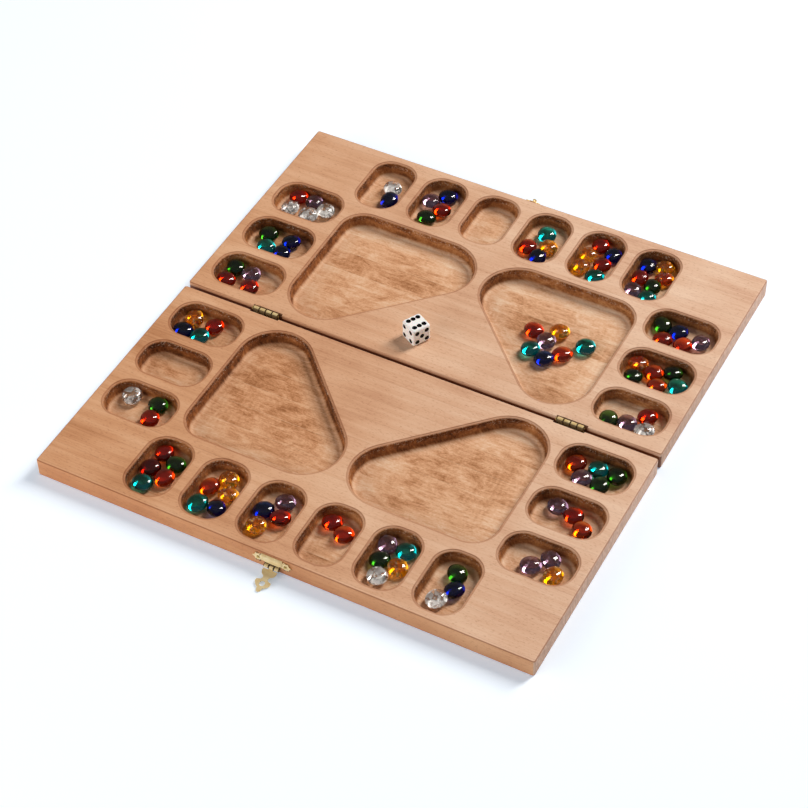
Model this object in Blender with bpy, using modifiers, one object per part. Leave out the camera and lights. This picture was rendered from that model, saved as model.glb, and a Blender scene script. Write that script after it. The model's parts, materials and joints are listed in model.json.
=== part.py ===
"""Folding four-player mancala board, open flat, with its hinges, hasp, glass stones and die.

Two solid wood halves meet at a fold line that runs along X. Each half carries a column of three pits at
either side, a row of six along its outer edge and two three-sided stores. Metres, +Z up, z = 0 on the table.
The origin is at the middle of the footprint, on the table.
"""

import math

import bmesh
import bpy
import numpy as np
from mathutils import Matrix, Vector

MM = 0.001

# Fits and allowances
CLEARANCE = 0.3 * MM
OVERRUN = 2.0 * MM
MERGE = 0.02 * MM

# Wooden halves
BOARD_WIDTH = 444.0 * MM
HALF_DEPTH = 229.0 * MM
BOARD_THICKNESS = 17.0 * MM
FOLD_GAP = 5.0 * MM
EDGE_EASE = 1.2 * MM
EDGE_EASE_STEPS = 2

# Pits, all cut with one template; the row's end pits and the columns' far pits interleave a little
PIT_LENGTH = 65.0 * MM
PIT_CORNER = 18.0 * MM
PIT_WEB = 9.0 * MM
COLUMN_BORDER = 8.5 * MM
COLUMN_TO_FOLD = 14.0 * MM
COLUMN_INTO_ROW = 1.5 * MM
ROW_BORDER = 7.0 * MM
ROW_INTO_COLUMN = 3.0 * MM
COLUMN_PITS = 3
ROW_PITS = 3

# Stores, a right-angled triangle with rounded corners, between the pits, the fold and the other store
STORE_TO_COLUMN = 6.0 * MM
STORE_TO_ROW = 8.0 * MM
STORE_TO_STORE = 9.0 * MM
STORE_TO_FOLD = 11.4 * MM
STORE_SQUARE_CORNER = 24.0 * MM
STORE_CENTRE_CORNER = 35.0 * MM
STORE_FOLD_CORNER = 33.5 * MM

# Section of every pocket
POCKET_DEPTH = 12.5 * MM
RIM_EASE = 1.5 * MM
WALL_DRAFT = 0.8 * MM
COVE_RADIUS = 5.5 * MM
COVE_STEPS = 2
PIT_CORNER_STEPS = 4
STORE_CORNER_STEPS = 6

# Butt hinges at the fold
HINGE_TO_END = 79.0 * MM
HINGE_LENGTH = 24.4 * MM
HINGE_KNUCKLES = 4
BARREL_RADIUS = 2.2 * MM
BARREL_BORE = 1.25 * MM
HINGE_PIN_RADIUS = 0.9 * MM
HINGE_PIN_HEAD = 1.5 * MM
HINGE_PIN_HEAD_THICK = 0.5 * MM
LEAF_THICKNESS = 1.0 * MM
LEAF_HEIGHT = 12.5 * MM
LEAF_EASE = 0.1 * MM
FOLD_AXIS_RISE = 0.2 * MM
NOTCH_SPARE = 1.8 * MM
NOTCH_DEPTH = 2.0 * MM
NOTCH_DROP = 1.5 * MM
ROUND_STEPS = 12

# Hinge screws
SCREW_TO_LEAF_END = 5.2 * MM
SCREW_DROP = 7.6 * MM
SCREW_LENGTH = 8.0 * MM
SCREW_HEAD_RADIUS = 1.9 * MM
SCREW_SHANK_RADIUS = 0.9 * MM
SCREW_POINT = 1.6 * MM
SCREW_STEPS = 10

# Hasp on the front edge
HASP_PLACE = -2.5 * MM
HASP_AXIS_HEIGHT = 4.8 * MM
HASP_AXIS_OUT = 1.9 * MM
HASP_BARREL_RADIUS = 1.4 * MM
HASP_BORE = 0.95 * MM
HASP_PIN_RADIUS = 0.6 * MM
HASP_KNUCKLE = 4.6 * MM
HASP_KNUCKLES = 3
HASP_SHEET = 0.8 * MM
HASP_SHEET_EASE = 0.15 * MM
HASP_PLATE_HALF_WIDTH = 17.5 * MM
HASP_PLATE_HALF_HEIGHT = 4.8 * MM
HASP_PLATE_MIDDLE = 10.8 * MM
HASP_RIDGE_WIDTH = 18.0 * MM
HASP_RIDGE_HEIGHT = 5.6 * MM
HASP_RIDGE_RISE = 1.0 * MM
HASP_RIDGE_EASE = 0.6 * MM
HASP_RIDGE_MIDDLE = 12.4 * MM
HASP_NAIL_SPACING = 24.4 * MM
TONGUE_LENGTH = 23.2 * MM
TONGUE_HALF_WIDTH = 6.5 * MM
TONGUE_HOLE_REACH = 15.2 * MM
TONGUE_HOLE_RADIUS = 2.4 * MM

# Nails, one pattern for the hasp and its catch
NAIL_HEAD_RADIUS = 1.5 * MM
NAIL_HEAD_RISE = 0.9 * MM
NAIL_SHANK_RADIUS = 0.6 * MM
NAIL_LENGTH = 7.0 * MM
NAIL_POINT = 1.5 * MM
NAIL_STEPS = 10
# Where a nail's dome turns over, of its head's radius and rise
NAIL_DOME_SHARES = (0.6, 0.8)

# Catch on the rear edge, which the hasp's hole goes over when the board is folded
CATCH_HALF_WIDTH = 8.0 * MM
CATCH_HALF_HEIGHT = 3.6 * MM
CATCH_NAIL_SPACING = 10.4 * MM
STUD_NECK_RADIUS = 1.3 * MM
STUD_HEAD_RADIUS = 1.9 * MM
STUD_HEAD_LENGTH = 1.6 * MM
STUD_FACE_SHARE = 0.6
STUD_REACH = 5.6 * MM
STUD_SHANK_LENGTH = 8.0 * MM
STUD_STEPS = 12

# Glass stones
STONE_DIAMETER = 17.0 * MM
STONE_HEIGHT = 8.6 * MM
STONE_BELLY_SHARE = 0.42
STONE_SEGMENTS = 9
STONE_RINGS = 4
SPACING_SHARE = 0.93
LINK_SHARE = 0.965
LOOSE_SHARE = 1.02
SETTLE_STEPS = 400
SETTLE_RATE = 0.35
LOOSE_RATE = 0.25
STONE_WALL_GAP = 0.9 * MM

# Die
DIE_SIZE = 16.0 * MM
DIE_ROUND = 2.0 * MM
DIE_ROUND_STEPS = 2
PIP_RADIUS = 1.5 * MM
PIP_DEPTH = 0.7 * MM
PIP_SPREAD = 4.0 * MM
PIP_SEGMENTS = 6
DIE_ACROSS = -15.2 * MM
DIE_FROM_FOLD = 32.4 * MM
DIE_TURN = math.radians(-29.0)
DIE_PARKED_GAP = 14.0 * MM

# Places worked out from the sizes above
FOLD_AXIS_HEIGHT = BOARD_THICKNESS + FOLD_AXIS_RISE
POCKET_FLOOR = BOARD_THICKNESS - POCKET_DEPTH
TONGUE_TIP = math.hypot(TONGUE_LENGTH, HASP_BARREL_RADIUS)
TONGUE_SLOPE = math.asin((HASP_AXIS_HEIGHT - CLEARANCE) / TONGUE_TIP) - math.atan2(
    HASP_BARREL_RADIUS, TONGUE_LENGTH
)
TONGUE_REACH = (
    HASP_AXIS_OUT
    + TONGUE_LENGTH * math.cos(TONGUE_SLOPE)
    - (HASP_BARREL_RADIUS - HASP_SHEET) * math.sin(TONGUE_SLOPE)
)
EDGE_FROM_FOLD = FOLD_GAP / 2 + HALF_DEPTH
FOLD_PLACE = (TONGUE_REACH - STUD_REACH) / 2
FRONT_FACE = FOLD_PLACE - EDGE_FROM_FOLD
REAR_FACE = FOLD_PLACE + EDGE_FROM_FOLD
STUD_HEIGHT = 2 * FOLD_AXIS_HEIGHT - HASP_AXIS_HEIGHT - TONGUE_HOLE_REACH
COLUMN_PLACE = BOARD_WIDTH / 2 - COLUMN_BORDER - PIT_LENGTH / 2
ROW_PLACE = EDGE_FROM_FOLD - ROW_BORDER - PIT_LENGTH / 2
ROW_SPAN = COLUMN_PLACE - PIT_LENGTH / 2 + ROW_INTO_COLUMN
COLUMN_SPAN = ROW_PLACE - PIT_LENGTH / 2 + COLUMN_INTO_ROW - COLUMN_TO_FOLD
PIT_WIDTH = min((ROW_SPAN + PIT_WEB / 2) / ROW_PITS, (COLUMN_SPAN + PIT_WEB) / COLUMN_PITS) - PIT_WEB
PIT_ROUND = min(PIT_CORNER, PIT_WIDTH / 2 - CLEARANCE)
ROW_PITCH = (ROW_SPAN - PIT_WIDTH / 2) / (ROW_PITS - 1 / 2)
COLUMN_PITCH = (COLUMN_SPAN - PIT_WIDTH) / (COLUMN_PITS - 1)
STORE_SIDE = COLUMN_PLACE - PIT_LENGTH / 2 - STORE_TO_COLUMN
STORE_FAR = ROW_PLACE - PIT_LENGTH / 2 - STORE_TO_ROW
HINGE_PLACE = BOARD_WIDTH / 2 - HINGE_TO_END

# Pips of each face of the die, from its middle, in shares of their spread
PIP_SHARES = {
    1: [(0, 0)],
    2: [(-1, -1), (1, 1)],
    3: [(-1, -1), (0, 0), (1, 1)],
    4: [(-1, -1), (-1, 1), (1, -1), (1, 1)],
    5: [(-1, -1), (-1, 1), (0, 0), (1, -1), (1, 1)],
    6: [(-1, -1), (-1, 0), (-1, 1), (1, -1), (1, 0), (1, 1)],
}

# Stones in each pit, from its middle, in shares of a stone's diameter: across, then towards the rear.
# The names count the pits away from the fold in a column, and away from the middle in a row.
STONES_SHARES = {
    "rear_left_3": [(-1.0, 0.8), (0.1, 0.6), (-0.9, -0.3), (0.2, -0.4), (0.9, 0.3)],
    "rear_left_2": [(-0.9, 0.5), (-0.5, -0.6), (0.5, 0.3), (0.5, -0.5)],
    "rear_left_1": [(-1.1, 0.5), (-1.1, -0.6), (-0.1, 0.4), (0.3, -0.5)],
    "rear_row_left_3": [(0.2, 0.4), (0.5, -0.6)],
    "rear_row_left_2": [(-0.6, 0.4), (0.1, 1.1), (0.3, 0.0), (-0.2, -0.9)],
    "rear_row_right_1": [(-0.1, 0.8), (-0.6, -0.5), (0.4, -0.1), (0.2, -1.0)],
    "rear_row_right_2": [(-0.6, 0.6), (-0.2, 1.3), (0.6, 0.9), (-0.6, -0.3), (0.4, 0.0), (0.3, -0.8)],
    "rear_row_right_3": [
        (-0.6, 0.9), (0.1, 1.3), (-0.7, -0.1), (0.2, -0.2), (0.6, 0.6), (-0.5, -1.0), (0.4, -0.9),
    ],
    "rear_right_3": [(-1.2, 0.4), (-0.3, 0.3), (-0.8, -0.5), (0.3, -0.5), (1.0, 0.1)],
    "rear_right_2": [(-1.1, 0.5), (-1.0, -0.3), (-0.3, 0.2), (0.5, 0.6), (0.2, -0.5), (1.1, -0.1)],
    "rear_right_1": [(-0.9, -0.6), (0.0, -0.4), (0.7, 0.4), (0.9, -0.5)],
    "rear_store": [(-1.4, -0.5), (-0.2, 0.0), (-0.5, -0.9), (-1.0, -1.8), (-0.1, -2.1), (0.6, -1.4)],
    "rear_store_lone": [(1.4, -0.4)],
    "front_left_1": [(-1.0, 0.5), (0.2, 0.4), (-1.1, -0.5), (-0.1, -0.5)],
    "front_left_3": [(0.6, 0.6), (0.7, -0.3)],
    "front_left_3_lone": [(-0.9, 0.6)],
    "front_row_left_3": [(-0.5, 1.2), (0.4, 0.8), (-0.6, 0.1), (0.4, -0.2), (-0.4, -0.9)],
    "front_row_left_2": [(0.1, 1.1), (-0.5, 0.3), (0.6, 0.2), (-0.5, -0.8), (0.5, -0.7)],
    "front_row_left_1": [(0.1, 1.1), (-0.6, 0.3), (0.4, 0.1), (-0.4, -0.8)],
    "front_row_right_1": [(-0.4, 1.0), (0.4, 0.6)],
    "front_row_right_2": [(-0.6, 1.0), (0.4, 1.0), (-0.5, 0.1), (0.5, 0.0), (-0.1, -0.9)],
    "front_row_right_3": [(0.0, 0.9), (0.3, 0.0), (-0.2, -0.8)],
    "front_right_1": [(-1.1, 0.3), (0.0, 0.4), (1.0, 0.4), (-0.5, -0.5), (0.5, -0.5)],
    "front_right_2": [(-0.7, 0.5), (0.2, 0.3), (0.9, -0.3)],
    "front_right_3": [(-0.3, -0.2), (0.4, 0.5), (0.9, -0.3)],
}
# Middle of the store's handful, from the middle of the store's three corner arcs
HANDFUL_OFF_MIDDLE = (1.0 * MM, 3.7 * MM)

# Right half of the hasp plate's edge, in shares of its half width and half height, from the top middle
HASP_PLATE_SHARES = [
    (0.54, 1.0), (0.57, 0.50), (0.62, 0.55), (0.60, 0.92), (0.68, 0.76), (0.78, 0.72), (0.80, 0.97),
    (0.86, 0.58), (0.88, 0.28), (1.0, 0.0),
    (0.88, -0.28), (0.86, -0.58), (0.80, -0.97), (0.78, -0.72), (0.68, -0.76), (0.60, -0.92), (0.62, -0.55),
    (0.57, -0.50),
]
# Right half of the tongue's edge: shares of its half width and of its length, from the barrel to the tip
TONGUE_SHARES = [
    (0.95, 0.09), (0.97, 0.20), (0.78, 0.30), (0.45, 0.36), (0.36, 0.43), (0.42, 0.50), (1.0, 0.55),
    (1.0, 0.66), (0.66, 0.78), (0.34, 0.84), (0.30, 0.93), (0.18, 0.985), (0.0, 1.0),
]
# Right half of the catch plate's edge
CATCH_SHARES = [
    (0.35, 0.64), (0.45, 0.50), (0.60, 0.58), (0.85, 0.46), (1.0, -0.1),
    (0.85, -0.66), (0.60, -0.74), (0.45, -0.60), (0.35, -1.0),
]


def clear_scene():
    for thing in list(bpy.data.objects):
        bpy.data.objects.remove(thing, do_unlink=True)


def make_collection(name):
    group = bpy.data.collections.new(name)
    bpy.context.scene.collection.children.link(group)
    return group


clear_scene()
PARTS = make_collection("mancala_board")
CUTTERS = make_collection("cutters")


def make_material(name, colour, roughness, metallic=0.0, transmission=0.0):
    """A Principled finish; colour is an sRGB hex string."""
    channels = [int(colour[i:i + 2], 16) / 255 for i in (0, 2, 4)]
    linear = [c / 12.92 if c <= 0.04045 else ((c + 0.055) / 1.055) ** 2.4 for c in channels]
    finish = bpy.data.materials.new(name)
    finish.use_nodes = True
    shader = finish.node_tree.nodes["Principled BSDF"]
    shader.inputs["Base Color"].default_value = (*linear, 1.0)
    shader.inputs["Roughness"].default_value = roughness
    shader.inputs["Metallic"].default_value = metallic
    shader.inputs["Transmission Weight"].default_value = transmission
    finish.diffuse_color = (*linear, 1.0)
    return finish


WOOD = make_material("hardwood", "D6A880", 0.55)
BRASS = make_material("brass_plate", "D8BC6A", 0.3, metallic=1.0)
STEEL_BRASSED = make_material("brassed_steel", "C9A95A", 0.35, metallic=1.0)
GLASS = make_material("stone_glass", "3F8F86", 0.05, transmission=0.8)
IVORY = make_material("die_acrylic", "F4F2EC", 0.25)


def own_material(base, name):
    """Each piece carries its own copy of a finish."""
    copy = base.copy()
    copy.name = name + "_finish"
    return copy


def make_anchor(name, place, parent=None):
    anchor = bpy.data.objects.new(name, None)
    anchor.empty_display_size = HINGE_LENGTH
    PARTS.objects.link(anchor)
    set_place(anchor, place, parent)
    return anchor


def set_place(thing, place, parent=None):
    """Puts an object at a world place, under a parent that is only moved and not turned."""
    origin = Vector((0, 0, 0))
    above = parent
    while above is not None:
        origin += above.location
        above = above.parent
    thing.parent = parent
    thing.location = Vector(place) - origin


def add_part(name, mesh, finish, place=(0, 0, 0), parent=None):
    part = bpy.data.objects.new(name, mesh)
    PARTS.objects.link(part)
    part.data.materials.append(own_material(finish, name))
    set_place(part, place, parent)
    return part


def add_cutter(name, mesh, place=(0, 0, 0), parent=None):
    cutter = bpy.data.objects.new(name, mesh)
    CUTTERS.objects.link(cutter)
    cutter.hide_render = True
    cutter.display_type = "WIRE"
    set_place(cutter, place, parent)
    return cutter


def combine(part, tool, operation, self_cross=False):
    step = part.modifiers.new(operation.lower() + "_" + tool.name, "BOOLEAN")
    step.operation = operation
    step.solver = "EXACT"
    step.use_self = self_cross
    step.object = tool


def mesh_from(bm, name):
    mesh = bpy.data.meshes.new(name)
    bmesh.ops.recalc_face_normals(bm, faces=bm.faces)
    bm.to_mesh(mesh)
    bm.free()
    return mesh


def smooth(mesh, angle=math.radians(35.0)):
    mesh.shade_smooth()
    mesh.set_sharp_from_angle(angle=angle)


def add_box(bm, low, high):
    """A box between two corners."""
    low, high = Vector(low), Vector(high)
    made = bmesh.ops.create_cube(bm, size=1.0)
    size = Matrix.Diagonal((*(high - low), 1.0))
    bmesh.ops.transform(bm, matrix=Matrix.Translation((low + high) / 2) @ size, verts=made["verts"])


def add_rod(bm, start, end, radius, steps=ROUND_STEPS):
    """A cylinder from start to end, with a flat of its facets, not a corner, to each side."""
    start, end = Vector(start), Vector(end)
    run = end - start
    made = bmesh.ops.create_cone(
        bm, cap_ends=True, segments=steps, radius1=radius, radius2=radius, depth=run.length
    )
    turn = run.to_track_quat("Z", "Y").to_matrix().to_4x4() @ Matrix.Rotation(math.pi / steps, 4, "Z")
    bmesh.ops.transform(bm, matrix=Matrix.Translation((start + end) / 2) @ turn, verts=made["verts"])


def box_mesh(name, low, high):
    bm = bmesh.new()
    add_box(bm, low, high)
    return mesh_from(bm, name)


def rod_mesh(name, start, end, radius, steps=ROUND_STEPS):
    bm = bmesh.new()
    add_rod(bm, start, end, radius, steps)
    mesh = mesh_from(bm, name)
    smooth(mesh)
    return mesh


def pocket_ring(corners, inset, steps):
    """Points round a pocket, anticlockwise: an arc at each corner, its straight walls their tangents.

    A corner is (middle of its arc, radius); a ring drawn in by inset has the same middles.
    """
    outward = []
    for (middle, radius), (onward, next_radius) in zip(corners, corners[1:] + corners[:1]):
        run = np.array(onward) - np.array(middle)
        lean = math.asin((radius - next_radius) / float(np.hypot(*run)))
        outward.append(math.atan2(run[1], run[0]) - math.pi / 2 + lean)
    ring = []
    for i, (middle, radius) in enumerate(corners):
        sweep = (outward[i] - outward[i - 1]) % (2 * math.pi)
        for k in range(steps + 1):
            angle = outward[i - 1] + sweep * k / steps
            ring.append(np.array(middle) + (radius - inset) * np.array((math.cos(angle), math.sin(angle))))
    return ring


def pocket_section():
    """Steps down a pocket's wall: (inset from the rim line, height)."""
    wall_foot = RIM_EASE + WALL_DRAFT
    cove_top = POCKET_FLOOR + COVE_RADIUS
    steps = [(-OVERRUN, BOARD_THICKNESS + OVERRUN), (RIM_EASE, BOARD_THICKNESS - RIM_EASE)]
    for k in range(COVE_STEPS + 1):
        angle = math.pi / 2 * k / COVE_STEPS
        inset = wall_foot + COVE_RADIUS * (1 - math.cos(angle))
        steps.append((inset, cove_top - COVE_RADIUS * math.sin(angle)))
    return steps


def add_pocket(bm, corners, corner_steps):
    """A loft through the pocket's rings, closed by its floor and by a lid above the board."""
    rings = []
    for inset, height in pocket_section():
        ring = pocket_ring(corners, inset, corner_steps)
        rings.append([bm.verts.new((x, y, height)) for x, y in ring])
    for upper, lower in zip(rings, rings[1:]):
        count = len(upper)
        for i in range(count):
            j = (i + 1) % count
            bm.faces.new((upper[i], upper[j], lower[j], lower[i]))
    bm.faces.new(rings[0])
    bm.faces.new(rings[-1])


def pit_corners(across, away, length, width):
    """Corner arcs of an upright pit."""
    x, y = length / 2 - PIT_ROUND, width / 2 - PIT_ROUND
    middles = [(across - x, away - y), (across + x, away - y), (across + x, away + y), (across - x, away + y)]
    return [(middle, PIT_ROUND) for middle in middles]


def store_corners(side, end):
    """Corner arcs of a store: side is -1 left or 1 right, end is -1 front or 1 rear."""
    arcs = [
        (STORE_SIDE - STORE_SQUARE_CORNER, STORE_FAR - STORE_SQUARE_CORNER, STORE_SQUARE_CORNER),
        (STORE_TO_STORE / 2 + STORE_CENTRE_CORNER, STORE_FAR - STORE_CENTRE_CORNER, STORE_CENTRE_CORNER),
        (STORE_SIDE - STORE_FOLD_CORNER, STORE_TO_FOLD + STORE_FOLD_CORNER, STORE_FOLD_CORNER),
    ]
    corners = [((side * across, FOLD_PLACE + end * away), radius) for across, away, radius in arcs]
    return corners if side == end else corners[::-1]


def pit_places(end):
    """Middle of each pit of one half, with its name and whether it is in the row."""
    half = "rear" if end > 0 else "front"
    places = {}
    for side, hand in ((-1, "left"), (1, "right")):
        for k in range(COLUMN_PITS):
            away = FOLD_PLACE + end * (COLUMN_TO_FOLD + PIT_WIDTH / 2 + k * COLUMN_PITCH)
            places[f"{half}_{hand}_{k + 1}"] = (side * COLUMN_PLACE, away, False)
        for k in range(ROW_PITS):
            across = side * (k + 1 / 2) * ROW_PITCH
            places[f"{half}_row_{hand}_{k + 1}"] = (across, FOLD_PLACE + end * ROW_PLACE, True)
    return places


def pockets_mesh(name, end):
    bm = bmesh.new()
    for across, away, in_row in pit_places(end).values():
        length, width = (PIT_WIDTH, PIT_LENGTH) if in_row else (PIT_LENGTH, PIT_WIDTH)
        add_pocket(bm, pit_corners(across, away, length, width), PIT_CORNER_STEPS)
    for side in (-1, 1):
        add_pocket(bm, store_corners(side, end), STORE_CORNER_STEPS)
    return mesh_from(bm, name)


def flat_outline_mesh(name, points, thickness):
    """A flat plate in the XY plane, thickness centred on it: a filled curve, made a closed mesh."""
    curve = bpy.data.curves.new(name, "CURVE")
    curve.dimensions = "2D"
    curve.fill_mode = "BOTH"
    curve.extrude = thickness / 2
    spline = curve.splines.new("POLY")
    spline.points.add(len(points) - 1)
    for point, (x, y) in zip(spline.points, points):
        point.co = (x, y, 0, 1)
    spline.use_cyclic_u = True
    guide = bpy.data.objects.new(name, curve)
    bpy.context.scene.collection.objects.link(guide)
    bpy.context.view_layer.update()
    evaluated = guide.evaluated_get(bpy.context.evaluated_depsgraph_get())
    mesh = bpy.data.meshes.new_from_object(evaluated)
    mesh.name = name
    bm = bmesh.new()
    bm.from_mesh(mesh)
    bmesh.ops.remove_doubles(bm, verts=bm.verts, dist=MERGE)
    bmesh.ops.dissolve_limit(bm, angle_limit=math.radians(1.0), verts=bm.verts, edges=bm.edges)
    bmesh.ops.recalc_face_normals(bm, faces=bm.faces)
    bm.to_mesh(mesh)
    bm.free()
    bpy.data.objects.remove(guide, do_unlink=True)
    return mesh


def both_sides(shares, half_width, height, start=0.0):
    """A whole outline from its right half, given top to bottom or root to tip."""
    right = [(x * half_width, start + y * height) for x, y in shares]
    left = [(-x, y) for x, y in reversed(right) if x > MERGE]
    return right + left


def turned_part(name, profile, steps, finish, place, turn, parent=None):
    """A turned piece: a profile of (radius, height) points, from top to bottom, on a Screw modifier."""
    mesh = bpy.data.meshes.new(name)
    points = [(radius, 0, height) for radius, height in profile]
    mesh.from_pydata(points, [(i, i + 1) for i in range(len(points) - 1)], [])
    part = add_part(name, mesh, finish, place, parent)
    part.rotation_euler = turn
    spin = part.modifiers.new("turning", "SCREW")
    spin.angle = 2 * math.pi
    spin.steps = steps
    spin.render_steps = steps
    spin.use_merge_vertices = True
    spin.merge_threshold = MERGE
    spin.use_smooth_shade = True
    return part


# Wooden halves

def make_half(name, end, parent):
    """One half of the board, its pockets cut; end is -1 front or 1 rear."""
    inner = FOLD_PLACE + end * FOLD_GAP / 2
    outer = FOLD_PLACE + end * EDGE_FROM_FOLD
    low = (-BOARD_WIDTH / 2, min(inner, outer), 0)
    high = (BOARD_WIDTH / 2, max(inner, outer), BOARD_THICKNESS)
    place = parent.location if parent else Vector((0, 0, 0))
    bm = bmesh.new()
    add_box(bm, Vector(low) - place, Vector(high) - place)
    half = add_part(name, mesh_from(bm, name), WOOD, place, parent)
    ease = half.modifiers.new("eased_edges", "BEVEL")
    ease.width = EDGE_EASE
    ease.segments = EDGE_EASE_STEPS
    ease.limit_method = "ANGLE"
    combine(half, add_cutter(name + "_pockets", pockets_mesh(name + "_pockets", end)), "DIFFERENCE")
    return half


def cut_hinge_notch(half, side, end):
    """Room in the wood's upper edge around the hinge barrel."""
    face = FOLD_PLACE + end * FOLD_GAP / 2
    reach = HINGE_LENGTH / 2 + NOTCH_SPARE
    ends = (face + end * NOTCH_DEPTH, face - end * OVERRUN)
    low = (side * HINGE_PLACE - reach, min(ends), FOLD_AXIS_HEIGHT - BARREL_RADIUS - NOTCH_DROP)
    high = (side * HINGE_PLACE + reach, max(ends), BOARD_THICKNESS + OVERRUN)
    name = f"{half.name}_notch_{'left' if side < 0 else 'right'}"
    combine(half, add_cutter(name, box_mesh(name, low, high)), "DIFFERENCE")


# Butt hinges

def knuckle_span(index):
    """Ends of a hinge knuckle along X, from the hinge's middle."""
    pitch = HINGE_LENGTH / HINGE_KNUCKLES
    start = -HINGE_LENGTH / 2 + index * pitch
    return start + CLEARANCE / 2, start + pitch - CLEARANCE / 2


def screw_places(side):
    reach = HINGE_LENGTH / 2 - SCREW_TO_LEAF_END
    return [side * HINGE_PLACE - reach, side * HINGE_PLACE + reach]


def leaf_mesh_tools(name, end):
    """The leaf's plain plate, and the tools that add its knuckles and cut its bore and gaps."""
    inner = end * (BARREL_RADIUS - LEAF_THICKNESS)
    outer = end * BARREL_RADIUS
    own = [k for k in range(HINGE_KNUCKLES) if (k % 2 == 0) == (end > 0)]
    other = [k for k in range(HINGE_KNUCKLES) if k not in own]
    plate = box_mesh(
        name, (-HINGE_LENGTH / 2, min(inner, outer), -LEAF_HEIGHT), (HINGE_LENGTH / 2, max(inner, outer), 0)
    )
    bm = bmesh.new()
    for k in own:
        start, stop = knuckle_span(k)
        add_rod(bm, (start, 0, 0), (stop, 0, 0), BARREL_RADIUS)
    knuckles = mesh_from(bm, name + "_knuckles")
    bm = bmesh.new()
    room = BARREL_RADIUS + CLEARANCE
    for k in other:
        start, stop = knuckle_span(k)
        low = start - CLEARANCE - (OVERRUN if k == 0 else LEAF_EASE)
        high = stop + CLEARANCE + (OVERRUN if k == HINGE_KNUCKLES - 1 else LEAF_EASE)
        add_box(bm, (low, -room - OVERRUN, -room), (high, room + OVERRUN, room))
    gaps = mesh_from(bm, name + "_gaps")
    reach = HINGE_LENGTH / 2 + OVERRUN
    bore = rod_mesh(name + "_bore", (-reach, 0, 0), (reach, 0, 0), BARREL_BORE)
    return plate, knuckles, gaps, bore


def countersink_mesh(name, end):
    """Cutter for one countersunk screw hole, along Y, its mouth at the leaf's open face."""
    start = end * (BARREL_RADIUS - LEAF_THICKNESS)
    growth = LEAF_THICKNESS
    bm = bmesh.new()
    made = bmesh.ops.create_cone(
        bm, cap_ends=True, segments=SCREW_STEPS,
        radius1=SCREW_HEAD_RADIUS + CLEARANCE + growth,
        radius2=SCREW_SHANK_RADIUS + CLEARANCE,
        depth=LEAF_THICKNESS + growth,
    )
    turn = Matrix.Rotation(-end * math.pi / 2, 4, "X")
    middle = Vector((0, start + end * (LEAF_THICKNESS - growth) / 2, 0))
    bmesh.ops.transform(bm, matrix=Matrix.Translation(middle) @ turn, verts=made["verts"])
    return mesh_from(bm, name)


def make_leaf(side, end, parent, half):
    hand = "left" if side < 0 else "right"
    name = f"hinge_{hand}_leaf_{'rear' if end > 0 else 'front'}"
    place = (side * HINGE_PLACE, FOLD_PLACE, FOLD_AXIS_HEIGHT)
    plate, knuckles, gaps, bore = leaf_mesh_tools(name, end)
    leaf = add_part(name, plate, BRASS, place, parent)
    combine(leaf, add_cutter(gaps.name, gaps, place, parent), "DIFFERENCE")
    combine(leaf, add_cutter(knuckles.name, knuckles, place, parent), "UNION")
    combine(leaf, add_cutter(bore.name, bore, place, parent), "DIFFERENCE")
    for number, across in enumerate(screw_places(side), 1):
        hole_place = (across, FOLD_PLACE, FOLD_AXIS_HEIGHT - SCREW_DROP)
        tool_name = f"{name}_hole_{number}"
        tool = add_cutter(tool_name, countersink_mesh(tool_name, end), hole_place, parent)
        combine(leaf, tool, "DIFFERENCE")
        make_hinge_screw(f"hinge_{hand}_screw_{'rear' if end > 0 else 'front'}_{number}", end, hole_place,
                         parent, half)
    return leaf


def make_hinge_screw(name, end, place, parent, half):
    """A countersunk screw through the leaf into the wood, and the bore it sits in."""
    mouth = end * (BARREL_RADIUS - LEAF_THICKNESS)
    start = Vector(place) + Vector((0, mouth, 0))
    profile = [
        (0, 0), (SCREW_HEAD_RADIUS, 0), (SCREW_SHANK_RADIUS, -LEAF_THICKNESS),
        (SCREW_SHANK_RADIUS, SCREW_POINT - SCREW_LENGTH), (0, -SCREW_LENGTH),
    ]
    turned_part(name, profile, SCREW_STEPS, STEEL_BRASSED, start, (end * math.pi / 2, 0, 0), parent)
    bore_start = (place[0], FOLD_PLACE + end * (FOLD_GAP / 2 - CLEARANCE / 2), place[2])
    bore_end = (place[0], start.y + end * (SCREW_LENGTH + CLEARANCE), place[2])
    tool_name = name + "_bore"
    bore = rod_mesh(tool_name, bore_start, bore_end, SCREW_SHANK_RADIUS + CLEARANCE, SCREW_STEPS)
    combine(half, add_cutter(tool_name, bore), "DIFFERENCE")


def make_hinge_pin(side):
    hand = "left" if side < 0 else "right"
    half_length = HINGE_LENGTH / 2
    name = f"hinge_{hand}_pin"
    head_start = half_length + CLEARANCE
    head_end = head_start + HINGE_PIN_HEAD_THICK
    profile = [
        (0, head_end), (HINGE_PIN_HEAD, head_end), (HINGE_PIN_HEAD, head_start),
        (HINGE_PIN_RADIUS, head_start), (HINGE_PIN_RADIUS, -half_length), (0, -half_length),
    ]
    place = (side * HINGE_PLACE, FOLD_PLACE, FOLD_AXIS_HEIGHT)
    return turned_part(name, profile, ROUND_STEPS, STEEL_BRASSED, place, (0, -math.pi / 2, 0))


# Hasp and catch

def hasp_knuckle_span(index):
    start = (index - HASP_KNUCKLES / 2) * HASP_KNUCKLE
    return start + CLEARANCE / 2, start + HASP_KNUCKLE - CLEARANCE / 2


def hasp_knuckles(name, indices):
    bm = bmesh.new()
    for k in indices:
        start, stop = hasp_knuckle_span(k)
        add_rod(bm, (start, 0, 0), (stop, 0, 0), HASP_BARREL_RADIUS)
    return mesh_from(bm, name)


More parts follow.
